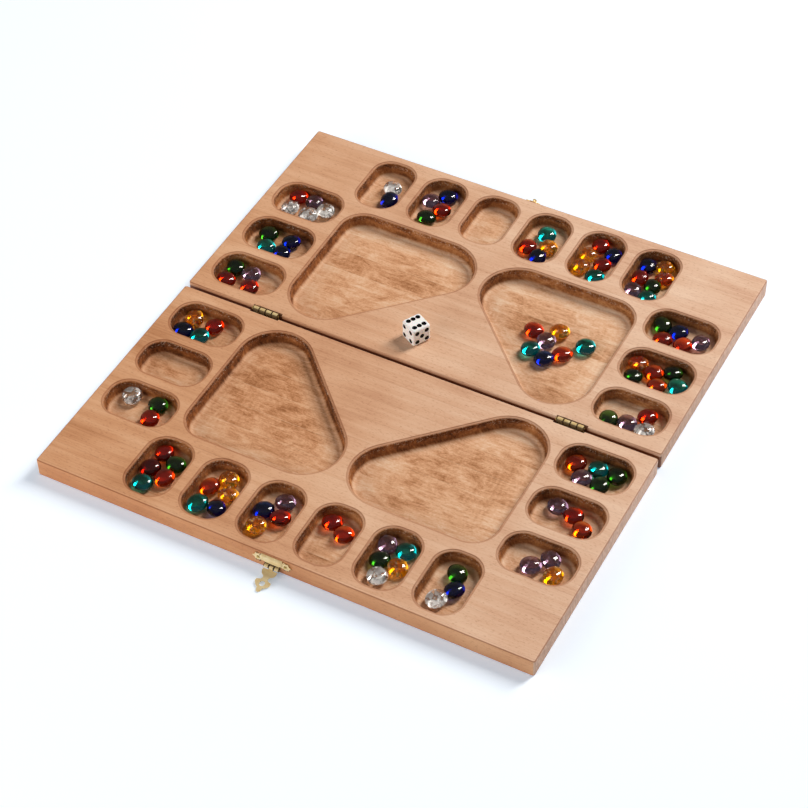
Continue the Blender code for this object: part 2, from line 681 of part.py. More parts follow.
def stand_up(mesh, out):
    """Turns a plate drawn in XY to stand in XZ, facing the front, its middle this far out."""
    mesh.transform(Matrix.Translation((0, -out, 0)) @ Matrix.Rotation(math.pi / 2, 4, "X"))
    return mesh


def make_hasp_plate(parent, half):
    """The nailed plate, with its raised middle and its two outer knuckles, drawn about the hasp's axis."""
    name = "hasp_plate"
    place = (HASP_PLACE, FRONT_FACE - HASP_AXIS_OUT, HASP_AXIS_HEIGHT)
    sheet_out = CLEARANCE + HASP_SHEET / 2 - HASP_AXIS_OUT
    rise = HASP_PLATE_MIDDLE - HASP_AXIS_HEIGHT
    points = both_sides(HASP_PLATE_SHARES, HASP_PLATE_HALF_WIDTH, HASP_PLATE_HALF_HEIGHT, rise)
    plate = add_part(
        name, stand_up(flat_outline_mesh(name, points, HASP_SHEET), sheet_out), BRASS, place, parent
    )
    tab_half = HASP_KNUCKLES * HASP_KNUCKLE / 2 - CLEARANCE / 2
    tab_side = tab_half - 2 * HASP_SHEET_EASE
    tab_back = HASP_AXIS_OUT - CLEARANCE
    outer = (0, HASP_KNUCKLES - 1)
    shoulder = HASP_BARREL_RADIUS + CLEARANCE
    bm = bmesh.new()
    add_box(bm, (-tab_side, tab_back - HASP_SHEET + MERGE, shoulder), (tab_side, tab_back - MERGE, rise))
    tab = mesh_from(bm, name + "_tab")
    bm = bmesh.new()
    for k in outer:
        start, stop = hasp_knuckle_span(k)
        low = (start + HASP_SHEET_EASE, tab_back - HASP_SHEET + 2 * MERGE, 0)
        high = (stop - HASP_SHEET_EASE, tab_back - 2 * MERGE, shoulder + HASP_SHEET)
        add_box(bm, low, high)
    straps = mesh_from(bm, name + "_straps")
    ridge_low = HASP_RIDGE_MIDDLE - HASP_AXIS_HEIGHT - HASP_RIDGE_HEIGHT / 2
    ridge_out = tab_back - HASP_SHEET - HASP_RIDGE_RISE
    bm = bmesh.new()
    add_box(bm, (-HASP_RIDGE_WIDTH / 2, ridge_out, ridge_low),
            (HASP_RIDGE_WIDTH / 2, tab_back - HASP_SHEET / 2, ridge_low + HASP_RIDGE_HEIGHT))
    front_edges = [e for e in bm.edges if all(v.co.y < ridge_out + MERGE for v in e.verts)]
    bmesh.ops.bevel(bm, geom=front_edges, offset=HASP_RIDGE_EASE, segments=1, affect="EDGES")
    ridge = mesh_from(bm, name + "_ridge")
    for tool in (tab, straps, hasp_knuckles(name + "_knuckles", outer), ridge):
        combine(plate, add_cutter(tool.name, tool, place, parent), "UNION")
    reach = tab_half + OVERRUN
    bore = rod_mesh(name + "_bore", (-reach, 0, 0), (reach, 0, 0), HASP_BORE)
    combine(plate, add_cutter(bore.name, bore, place, parent), "DIFFERENCE")
    for number, across in enumerate((-HASP_NAIL_SPACING / 2, HASP_NAIL_SPACING / 2), 1):
        spot = (HASP_PLACE + across, FRONT_FACE, HASP_PLATE_MIDDLE)
        make_nail(f"hasp_nail_{number}", spot, -1, parent, plate, half)
    return plate


def make_nail(name, spot, outward, parent, plate, half):
    """A domed nail through a sheet into the wood; outward is the sign of Y that points off the wood."""
    under_head = CLEARANCE + HASP_SHEET + CLEARANCE
    across_share, up_share = NAIL_DOME_SHARES
    profile = [
        (0, under_head + NAIL_HEAD_RISE),
        (NAIL_HEAD_RADIUS * across_share, under_head + NAIL_HEAD_RISE * up_share),
        (NAIL_HEAD_RADIUS, under_head), (NAIL_SHANK_RADIUS, under_head),
        (NAIL_SHANK_RADIUS, NAIL_POINT - NAIL_LENGTH), (0, -NAIL_LENGTH),
    ]
    turned_part(name, profile, NAIL_STEPS, STEEL_BRASSED, spot, (-outward * math.pi / 2, 0, 0), parent)
    through = Vector(spot) + Vector((0, outward * (under_head + OVERRUN), 0))
    foot = Vector(spot) - Vector((0, outward * (NAIL_LENGTH + CLEARANCE), 0))
    tool_name = name + "_bore"
    bore = add_cutter(
        tool_name, rod_mesh(tool_name, through, foot, NAIL_SHANK_RADIUS + CLEARANCE, NAIL_STEPS)
    )
    combine(plate, bore, "DIFFERENCE")
    combine(half, bore, "DIFFERENCE")


def make_tongue(parent):
    """The hinged tongue, drawn closed, standing up from its axis, then swung out to rest on the table."""
    name = "hasp_tongue"
    place = (HASP_PLACE, FRONT_FACE - HASP_AXIS_OUT, HASP_AXIS_HEIGHT)
    sheet_out = HASP_BARREL_RADIUS - HASP_SHEET / 2
    points = both_sides(TONGUE_SHARES, TONGUE_HALF_WIDTH, TONGUE_LENGTH)
    tongue = add_part(
        name, stand_up(flat_outline_mesh(name, points, HASP_SHEET), sheet_out), BRASS, place, parent
    )
    middle = HASP_KNUCKLES // 2
    start, stop = hasp_knuckle_span(middle)
    bm = bmesh.new()
    root = TONGUE_SHARES[0][1] * TONGUE_LENGTH
    back, front = -(HASP_BARREL_RADIUS - MERGE), -(HASP_BARREL_RADIUS - HASP_SHEET + MERGE)
    add_box(bm, (start + HASP_SHEET_EASE, back, 0), (stop - HASP_SHEET_EASE, front, root + HASP_SHEET))
    strap = mesh_from(bm, name + "_strap")
    knuckle = hasp_knuckles(name + "_knuckle", [middle])
    reach = HASP_KNUCKLE
    bore = rod_mesh(name + "_bore", (-reach, 0, 0), (reach, 0, 0), HASP_BORE)
    hole = rod_mesh(
        name + "_hole", (0, -HASP_BARREL_RADIUS - OVERRUN, TONGUE_HOLE_REACH), (0, 0, TONGUE_HOLE_REACH),
        TONGUE_HOLE_RADIUS,
    )
    swing = math.pi / 2 + TONGUE_SLOPE
    for tool, operation in ((strap, "UNION"), (knuckle, "UNION"), (bore, "DIFFERENCE"), (hole, "DIFFERENCE")):
        cutter = add_cutter(tool.name, tool, place, parent)
        cutter.rotation_euler = (swing, 0, 0)
        combine(tongue, cutter, operation)
    tongue.rotation_euler = (swing, 0, 0)
    return tongue


def make_hasp_pin(parent):
    name = "hasp_pin"
    half_length = HASP_KNUCKLES * HASP_KNUCKLE / 2
    profile = [(0, half_length), (HASP_PIN_RADIUS, half_length), (HASP_PIN_RADIUS, -half_length),
               (0, -half_length)]
    place = (HASP_PLACE, FRONT_FACE - HASP_AXIS_OUT, HASP_AXIS_HEIGHT)
    return turned_part(name, profile, STUD_STEPS, STEEL_BRASSED, place, (0, math.pi / 2, 0), parent)


def make_catch(half):
    """A small nailed plate with a headed stud, on the rear edge."""
    name = "catch_plate"
    place = (HASP_PLACE, REAR_FACE, STUD_HEIGHT)
    points = both_sides(CATCH_SHARES, CATCH_HALF_WIDTH, CATCH_HALF_HEIGHT)
    sheet_out = CLEARANCE + HASP_SHEET / 2
    mesh = stand_up(flat_outline_mesh(name, points, HASP_SHEET), -sheet_out)
    plate = add_part(name, mesh, BRASS, place)
    neck = STUD_REACH - STUD_HEAD_LENGTH
    profile = [
        (0, STUD_REACH), (STUD_HEAD_RADIUS * STUD_FACE_SHARE, STUD_REACH),
        (STUD_HEAD_RADIUS, neck + STUD_HEAD_LENGTH / 2),
        (STUD_NECK_RADIUS, neck), (STUD_NECK_RADIUS, -STUD_SHANK_LENGTH), (0, -STUD_SHANK_LENGTH),
    ]
    turned_part("catch_stud", profile, STUD_STEPS, BRASS, place, (-math.pi / 2, 0, 0))
    foot = Vector(place) - Vector((0, STUD_SHANK_LENGTH + CLEARANCE, 0))
    through = Vector(place) + Vector((0, STUD_REACH, 0))
    bore = add_cutter(
        "catch_stud_bore",
        rod_mesh("catch_stud_bore", foot, through, STUD_NECK_RADIUS + CLEARANCE, STUD_STEPS),
    )
    combine(plate, bore, "DIFFERENCE")
    combine(half, bore, "DIFFERENCE")
    for number, across in enumerate((-CATCH_NAIL_SPACING / 2, CATCH_NAIL_SPACING / 2), 1):
        spot = (HASP_PLACE + across, REAR_FACE, STUD_HEIGHT)
        make_nail(f"catch_nail_{number}", spot, 1, None, plate, half)
    return plate


# Glass stones

def add_stone(bm, x, y, z):
    """A round gem: a flattened sphere, fullest a little below its middle, standing at height z."""
    made = bmesh.ops.create_uvsphere(bm, u_segments=STONE_SEGMENTS, v_segments=STONE_RINGS, radius=1.0)
    belly = STONE_HEIGHT * STONE_BELLY_SHARE
    for vert in made["verts"]:
        up = vert.co.z * (STONE_HEIGHT - belly if vert.co.z > 0 else belly)
        vert.co = (x + vert.co.x * STONE_DIAMETER / 2, y + vert.co.y * STONE_DIAMETER / 2, z + belly + up)


def keep_inside(point, reach_x, reach_y, corner):
    """The nearest place inside a rectangle with rounded corners."""
    core = np.array((reach_x - corner, reach_y - corner))
    held = np.clip(point, -core, core)
    off = point - held
    length = float(np.hypot(*off))
    return point if length <= corner else held + off * corner / length


def settle(shares, reach):
    """Nudges stones apart and together, inside their pit, until they touch in a chain and no ring."""
    points = np.array(shares) * STONE_DIAMETER
    near, far, loose = (STONE_DIAMETER * share for share in (SPACING_SHARE, LINK_SHARE, LOOSE_SHARE))
    for _ in range(SETTLE_STEPS):
        linked, waiting, touching = [0], list(range(1, len(points))), set()
        while waiting:
            gaps = [(float(np.hypot(*(points[a] - points[b]))), a, b) for a in linked for b in waiting]
            gap, a, b = min(gaps)
            if gap > far:
                pull = (points[a] - points[b]) * (1 - far / gap) * SETTLE_RATE
                points[b] += pull
                points[a] -= pull
            linked.append(b)
            waiting.remove(b)
            touching.add((max(a, b), min(a, b)))
        for a in range(len(points)):
            for b in range(a):
                least, rate = (near, SETTLE_RATE) if (a, b) in touching else (loose, LOOSE_RATE)
                gap = float(np.hypot(*(points[a] - points[b])))
                if gap < least:
                    push = (points[a] - points[b]) * (least / gap - 1) * rate
                    points[a] += push
                    points[b] -= push
        if reach:
            points = np.array([keep_inside(p, *reach) for p in points])
    return points


def stone_reach(in_row):
    """How far a stone's middle may be from the pit's middle, and the round of those bounds' corners."""
    wall = RIM_EASE + WALL_DRAFT + STONE_DIAMETER / 2 + STONE_WALL_GAP
    long_way, short_way = PIT_LENGTH / 2 - wall, PIT_WIDTH / 2 - wall
    corner = PIT_ROUND - wall
    return (short_way, long_way, corner) if in_row else (long_way, short_way, corner)


def make_handful(name, parent):
    """The stones of one pocket, fused where they touch, standing on its floor."""
    shares = STONES_SHARES[name]
    if "store" in name:
        middle = np.mean([spot for spot, radius in store_corners(1, 1)], axis=0)
        across, away = middle + HANDFUL_OFF_MIDDLE
        reach = None
    else:
        end = 1 if name.startswith("rear") else -1
        across, away, in_row = pit_places(end)[name.removesuffix("_lone")]
        reach = stone_reach(in_row)
    points = settle(shares, reach)
    place = (across, away, POCKET_FLOOR + CLEARANCE)
    bm = bmesh.new()
    add_stone(bm, *points[0], 0)
    node = "stones_" + name
    first = mesh_from(bm, node)
    smooth(first)
    handful = add_part(node, first, GLASS, place, parent)
    if len(points) > 1:
        bm = bmesh.new()
        for x, y in points[1:]:
            add_stone(bm, x, y, 0)
        rest = add_cutter(node + "_rest", mesh_from(bm, node + "_rest"), place, parent)
        combine(handful, rest, "UNION", self_cross=True)
    return handful


# Die

def make_die(parent):
    place = (DIE_ACROSS, FOLD_PLACE + DIE_FROM_FOLD, BOARD_THICKNESS + CLEARANCE + DIE_SIZE / 2)
    half = DIE_SIZE / 2
    die = add_part("die", box_mesh("die", (-half, -half, -half), (half, half, half)), IVORY, place, parent)
    rounding = die.modifiers.new("rounded", "BEVEL")
    rounding.width = DIE_ROUND
    rounding.segments = DIE_ROUND_STEPS
    ball = (PIP_RADIUS ** 2 + PIP_DEPTH ** 2) / (2 * PIP_DEPTH)
    turns = {
        6: Matrix.Identity(4),
        1: Matrix.Rotation(math.pi, 4, "X"),
        5: Matrix.Rotation(math.pi / 2, 4, "Y"),
        2: Matrix.Rotation(-math.pi / 2, 4, "Y"),
        4: Matrix.Rotation(math.pi / 2, 4, "X"),
        3: Matrix.Rotation(-math.pi / 2, 4, "X"),
    }
    bm = bmesh.new()
    for count, turn in turns.items():
        for i, j in PIP_SHARES[count]:
            made = bmesh.ops.create_uvsphere(bm, u_segments=PIP_SEGMENTS, v_segments=PIP_SEGMENTS, radius=ball)
            spot = Matrix.Translation((i * PIP_SPREAD, j * PIP_SPREAD, half - PIP_DEPTH + ball))
            bmesh.ops.transform(bm, matrix=turn @ spot, verts=made["verts"])
    pips = add_cutter("die_pips", mesh_from(bm, "die_pips"), place, parent)
    pips.rotation_euler = (0, 0, DIE_TURN)
    die.rotation_euler = (0, 0, DIE_TURN)
    combine(die, pips, "DIFFERENCE")
    return die


# Assembly

fold_axis = make_anchor("fold_axis", (0, FOLD_PLACE, FOLD_AXIS_HEIGHT))
rear_half = make_half("rear_half", 1, None)
front_half = make_half("front_half", -1, fold_axis)
for hinge_side in (-1, 1):
    cut_hinge_notch(rear_half, hinge_side, 1)
    cut_hinge_notch(front_half, hinge_side, -1)
    make_leaf(hinge_side, 1, None, rear_half)
    make_leaf(hinge_side, -1, fold_axis, front_half)
    make_hinge_pin(hinge_side)

hasp_axis = make_anchor("hasp_axis", (HASP_PLACE, FRONT_FACE - HASP_AXIS_OUT, HASP_AXIS_HEIGHT), fold_axis)
make_hasp_plate(fold_axis, front_half)
make_hasp_pin(fold_axis)
make_tongue(hasp_axis)
make_catch(rear_half)

parked = EDGE_FROM_FOLD + DIE_PARKED_GAP + DIE_SIZE / 2 * math.sqrt(2)
die_arc = make_anchor(
    "die_arc",
    (0, FOLD_PLACE + (DIE_FROM_FOLD + parked) / 2, (BOARD_THICKNESS + DIE_SIZE) / 2 + CLEARANCE),
)
make_die(die_arc)

for handful_name in STONES_SHARES:
    make_handful(handful_name, fold_axis if handful_name.startswith("front") else None)

bpy.context.view_layer.update()
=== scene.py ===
"""Looks of the folding mancala board: routed hardwood, brass fittings, glass stones and a die.

Metres, +Z up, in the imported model's own frame: X runs along the fold, +Y to the half with the catch.
"""

import json
import math

import bmesh
import bpy
import numpy as np
from mathutils import Matrix, Vector


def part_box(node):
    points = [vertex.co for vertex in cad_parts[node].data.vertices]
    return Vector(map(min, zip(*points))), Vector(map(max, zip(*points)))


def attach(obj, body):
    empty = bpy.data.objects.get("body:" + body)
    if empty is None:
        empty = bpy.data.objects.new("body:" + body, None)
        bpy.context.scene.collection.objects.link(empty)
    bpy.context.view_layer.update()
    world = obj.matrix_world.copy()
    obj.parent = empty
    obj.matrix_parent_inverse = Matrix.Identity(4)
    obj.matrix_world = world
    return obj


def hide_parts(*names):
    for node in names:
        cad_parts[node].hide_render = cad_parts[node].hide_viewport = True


MM = 0.001

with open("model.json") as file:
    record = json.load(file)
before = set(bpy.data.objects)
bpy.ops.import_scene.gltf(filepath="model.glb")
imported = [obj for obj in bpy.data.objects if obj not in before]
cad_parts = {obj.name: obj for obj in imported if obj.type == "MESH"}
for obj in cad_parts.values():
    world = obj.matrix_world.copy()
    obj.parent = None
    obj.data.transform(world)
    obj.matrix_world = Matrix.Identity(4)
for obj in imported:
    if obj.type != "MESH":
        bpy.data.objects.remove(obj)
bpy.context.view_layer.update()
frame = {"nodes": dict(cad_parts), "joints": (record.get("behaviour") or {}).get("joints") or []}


def joint_place(name):
    """Where a joint's axis passes through, at rest."""
    return Vector(next(j["pos_m"] for j in frame["joints"] if j["name"] == name))


FOLD = joint_place("fold")
HASP = joint_place("hasp_swing")
BOARD_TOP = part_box("rear_half")[1].z
BOARD_HALF_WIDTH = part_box("rear_half")[1].x
HALF_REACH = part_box("rear_half")[1].y - FOLD.y

# Pockets, as the model cuts them, in their finished form
PIT_LENGTH = 65.0 * MM
PIT_WIDTH = 43.0 * MM
PIT_CORNER = 18.0 * MM
PIT_PITCH = 52.0 * MM
COLUMN_TO_EDGE = 41.0 * MM
COLUMN_FIRST = 35.5 * MM
ROW_TO_EDGE = 39.5 * MM
ROW_FIRST = 26.0 * MM
STORE_SIDE = 142.5 * MM
STORE_FAR = 151.5 * MM
STORE_SLANT = 106.5 * MM
STORE_CORNERS = (24.0 * MM, 35.0 * MM, 33.5 * MM)
POCKET_DEPTH = 12.5 * MM
COVE = 5.5 * MM
COVE_STEPS = 8
WALL_FOOT = 2.3 * MM
CORNER_STEPS = 14
FLOOR_RINGS = 9

# Rim of a pocket, as (inset, depth): a small step, then the quarter round of the easing cutter
RIM = [(0.0, 0.0), (0.12 * MM, 0.40 * MM), (0.40 * MM, 0.50 * MM)]
RIM_ROUND = (1.65 * MM, 1.40 * MM)
RIM_STEPS = 5

# Eased outer edges, and how far beside an edge its flat faces get a line of points that keeps them flat
EDGE_EASE = 1.0 * MM
EDGE_STEPS = 6
SLAB_CORNER_STEPS = 4
SUPPORT = 0.5 * MM
WOOD_SHARP = math.radians(50.0)

# Places of the hinges along the fold, and the relief cut around their barrels
HINGE_PLACE = 143.0 * MM
NOTCH_REACH = 14.0 * MM
NOTCH_DEPTH = 2.0 * MM
NOTCH_HEIGHT = 3.5 * MM
NOTCH_SLACK = 1.0 * MM

# Knuckles of the hinges and the hasp, and the painted shade on them: from a joint's middle, from the
# hinge's axis to its sides, and from the hasp's axis to the barrel's back, the barrel's top and the top of
# the plate's turn
HINGE_KNUCKLE = 6.1 * MM
HASP_KNUCKLE = 4.6 * MM
JOINT_SHADE = (0.75 * MM, 0.45 * MM)
HINGE_SIDE = (1.1 * MM, 1.7 * MM)
HASP_BACK = (1.8 * MM, 1.5 * MM)
HASP_TOP = (1.6 * MM, 1.4 * MM)
HASP_TURN = (3.0 * MM, 2.5 * MM)

# Glued-up strips of the board; where a glue line starts and is full, from its middle
STRIP_WIDTH = 22.6 * MM
STRIP_START = 6.6 * MM
GLUE_LINE = (0.55 * MM, 0.15 * MM)

# Painted sheen: the way across the board in which its wood is drawn paler, towards the key lamp's side, and
# how far along it that starts and ends
SHEEN_WAY = (1.4, 0.65, 0.0)
SHEEN_RANGE = (-0.42, 0.40)

# Where a face's own colour, or painted shade, starts and is full: from the outer faces inwards, from the
# fold's middle, down from the top at the fold for the painted shade in the gap, and up from the underside
FACE_SKIN = (0.3 * MM, 0.1 * MM)
FOLD_FACE = (4.5 * MM, 3.5 * MM)
FOLD_SHADE = (3.0 * MM, 3.7 * MM)
FOOT_WARM = (2.2 * MM, 0.8 * MM)

# The cutter's passes over a pocket's floor, and how far along its section the floor gets painted light,
# which lifts the shaded floor close to the wall
PASS_WIDTH = 7.0 * MM
FLOOR_LIFT = (26.0 * MM, 46.0 * MM)


# Materials

def linear(colour):
    """Linear red, green, blue and alpha from an sRGB hex string."""
    channels = np.array([int(colour[i:i + 2], 16) for i in (0, 2, 4)]) / 255
    low = channels / 12.92
    high = ((channels + 0.055) / 1.055) ** 2.4
    return (*np.where(channels <= 0.04045, low, high), 1.0)


def start_material(name):
    """A new material with an empty node tree."""
    material = bpy.data.materials.new(name)
    material.use_nodes = True
    material.node_tree.nodes.clear()
    return material, material.node_tree


def add_node(tree, kind, inputs=(), stops=(), **settings):
    """Adds a shader node with its settings and links.

    An input is named by its name or number, and takes a value, a socket or a node, whose first output is
    meant. In a Map Range, 0 is the pattern, 1 and 2 are the ends of its range, and 3 and 4 what they turn
    into; in a Mix, 0 is the share of the second colour. The stops are the (place, sRGB hex) pairs of a
    colour ramp.
    """
    node = tree.nodes.new("ShaderNode" + kind)
    for name, value in settings.items():
        setattr(node, name, value)
    for k, (place, colour) in enumerate(stops):
        element = node.color_ramp.elements[k] if k < 2 else node.color_ramp.elements.new(place)
        element.position = place
        element.color = linear(colour)
    ready = [socket for socket in node.inputs if socket.enabled]
    for key, value in dict(inputs).items():
        socket = ready[key] if isinstance(key, int) else next(s for s in ready if s.name == key)
        if isinstance(value, bpy.types.Node):
            value = next(s for s in value.outputs if s.enabled)
        if isinstance(value, bpy.types.NodeSocket):
            tree.links.new(value, socket)
        else:
            socket.default_value = value
    return node


SMOOTH = {"interpolation_type": "SMOOTHSTEP"}
OVER = {"data_type": "RGBA", "blend_type": "MIX"}
TIMES = {"data_type": "RGBA", "blend_type": "MULTIPLY"}


def mottle(tree, place, lengths, detail=3.0, roughness=0.55, distortion=0.0):
    """A noise pattern whose features are about this many millimetres long along X, Y and Z."""
    size = [length * MM for length in lengths]
    spread = add_node(tree, "VectorMath", {0: place, 1: size}, operation="DIVIDE")
    return add_node(tree, "TexNoise", {
        "Vector": spread, "Scale": 1.0, "Detail": detail, "Roughness": roughness, "Distortion": distortion})


def weigh(tree, *parts):
    """The sum of patterns, each times its weight; a last bare number is added to it."""
    total = parts[-1] if isinstance(parts[-1], float) else 0.0
    for pattern, weight in (part for part in parts if not isinstance(part, float)):
        total = add_node(tree, "Math", {0: pattern, 1: weight, 2: total}, operation="MULTIPLY_ADD")
    return total


def hardwood(tree):
    """Rubberwood glued up from strips that run along X, warmer towards one corner of the board and paler
    towards the other, on the key lamp's side, as a painted sheen: the patterns and colours that its two
    finishes share, by name.

    The fibres are 1.3 mm apart, drawn coarser than real ones so that they show.
    """
    place = add_node(tree, "TexCoord").outputs["Object"]
    parts = add_node(tree, "SeparateXYZ", {0: place})
    along = weigh(tree, (parts.outputs["Y"], 1 / STRIP_WIDTH), -STRIP_START / STRIP_WIDTH)
    strip = add_node(tree, "Math", {0: along}, operation="FLOOR")
    chance = add_node(tree, "TexWhiteNoise", {"W": strip}, noise_dimensions="1D")
    shift = add_node(tree, "CombineXYZ", {"X": chance, "Z": chance})
    moved = add_node(tree, "VectorMath", {0: place, 1: shift}, operation="ADD")
    fibre = mottle(tree, moved, (55, 1.3, 1.3), detail=4.0, roughness=0.6)
    figure = mottle(tree, moved, (150, 9, 10), distortion=0.8)
    cloud = mottle(tree, place, (75, 40, 40), detail=2.0)
    tone = weigh(tree, (fibre, 0.20), (figure, 0.26), (cloud, 0.38), (chance, 0.05), 0.055)
    warm = add_node(tree, "ValToRGB", {0: tone}, [(0.36, "BA825A"), (0.48, "D09A72"), (0.62, "DEAE88")])
    pale = add_node(tree, "ValToRGB", {0: tone}, [(0.36, "C99B80"), (0.48, "DCB599"), (0.62, "E8C8AF")])
    # Painted sheen: the wood is drawn paler towards the corner on the key lamp's side
    slant = add_node(tree, "VectorMath", {0: place, 1: SHEEN_WAY}, operation="DOT_PRODUCT").outputs["Value"]
    side = add_node(tree, "MapRange", {0: slant, 1: SHEEN_RANGE[0], 2: SHEEN_RANGE[1]}, **SMOOTH)
    edge = add_node(tree, "Math", {0: along, 1: 0.5}, operation="PINGPONG")
    joint = add_node(tree, "MapRange", {
        0: edge, 1: GLUE_LINE[0] / STRIP_WIDTH, 2: GLUE_LINE[1] / STRIP_WIDTH}, **SMOOTH)
    # eased is the mark of painted shade on the eased edges and the rims
    return {"place": place, "x": parts.outputs["X"], "y": parts.outputs["Y"], "z": parts.outputs["Z"],
            "chance": chance, "moved": moved, "fibre": fibre, "cloud": cloud, "side": side, "joint": joint,
            "colour": add_node(tree, "Mix", {0: side, 1: warm, 2: pale}, **OVER),
            "eased": add_node(tree, "Attribute", attribute_name="eased").outputs["Fac"]}


def lacquer(tree, colour, height, relief, roughness, gloss):
    """A thin satin lacquer over the wood, which leaves its fibres in relief."""
    bump = add_node(tree, "Bump", {"Strength": relief, "Distance": 0.2 * MM, "Height": height})
    shader = add_node(tree, "BsdfPrincipled", {
        "Base Color": colour, "Normal": bump, "Roughness": roughness, "Specular IOR Level": gloss})
    add_node(tree, "OutputMaterial", {"Surface": shader})


def make_planed_wood():
    """Rubberwood, planed, sanded and lacquered satin: fine straight grain with a soft figure, with painted
    shade along its eased edges and down its faces at the fold, and short end grain on the board's ends."""
    material, tree = start_material("planed_rubberwood")
    wood = hardwood(tree)
    wide = add_node(tree, "Math", {0: wood["x"]}, operation="ABSOLUTE")
    end = add_node(tree, "MapRange", {
        0: wide, 1: BOARD_HALF_WIDTH - FACE_SKIN[0], 2: BOARD_HALF_WIDTH - FACE_SKIN[1]})
    rings = mottle(tree, wood["place"], (5, 2.4, 7), distortion=1.2)
    sawn = add_node(tree, "ValToRGB", {0: rings}, [(0.36, "B4866A"), (0.52, "CA9E80"), (0.66, "DAB294")])
    colour = add_node(tree, "Mix", {0: end, 1: wood["colour"], 2: sawn}, **OVER)
    pores = mottle(tree, wood["place"], (3.0, 0.8, 0.8), detail=2.0)
    pores = add_node(tree, "MapRange", {0: pores, 1: 0.56, 2: 0.72, 4: 0.4}, **SMOOTH)
    colour = add_node(tree, "Mix", {0: pores, 1: colour, 2: linear("B8855E")}, **TIMES)
    glue = weigh(tree, (wood["joint"], 0.10))
    colour = add_node(tree, "Mix", {0: glue, 1: colour, 2: linear("8A5C3A")}, **TIMES)
    away = weigh(tree, (wood["y"], 1.0), -FOLD.y)
    away = add_node(tree, "Math", {0: away}, operation="ABSOLUTE")
    front = add_node(tree, "MapRange", {0: away, 1: HALF_REACH - FACE_SKIN[0], 2: HALF_REACH - FACE_SKIN[1]})
    colour = add_node(tree, "Mix", {0: front, 1: colour, 2: linear("F6E0C4")}, **TIMES)
    # Painted shade: the faces at the fold are drawn brown below the top, standing in for the dark gap
    # between the halves
    fold = add_node(tree, "MapRange", {0: away, 1: FOLD_FACE[0], 2: FOLD_FACE[1]})
    below = add_node(tree, "MapRange", {
        0: wood["z"], 1: BOARD_TOP - FOLD_SHADE[0], 2: BOARD_TOP - FOLD_SHADE[1]}, **SMOOTH)
    gap_shade = add_node(tree, "Math", {0: fold, 1: below}, operation="MULTIPLY")
    colour = add_node(tree, "Mix", {0: gap_shade, 1: colour, 2: linear("986E4C")}, **TIMES)
    foot = add_node(tree, "MapRange", {0: wood["z"], 1: FOOT_WARM[0], 2: FOOT_WARM[1], 4: 0.5}, **SMOOTH)
    colour = add_node(tree, "Mix", {0: foot, 1: colour, 2: linear("F0A468")}, **TIMES)
    # Painted shade: a darker brown line drawn along the eased edges
    worn = weigh(tree, (wood["eased"], 0.7))
    colour = add_node(tree, "Mix", {0: worn, 1: colour, 2: linear("A87448")}, **TIMES)
    lacquer(tree, colour, wood["fibre"], 0.10, 0.42, 0.4)
    return material


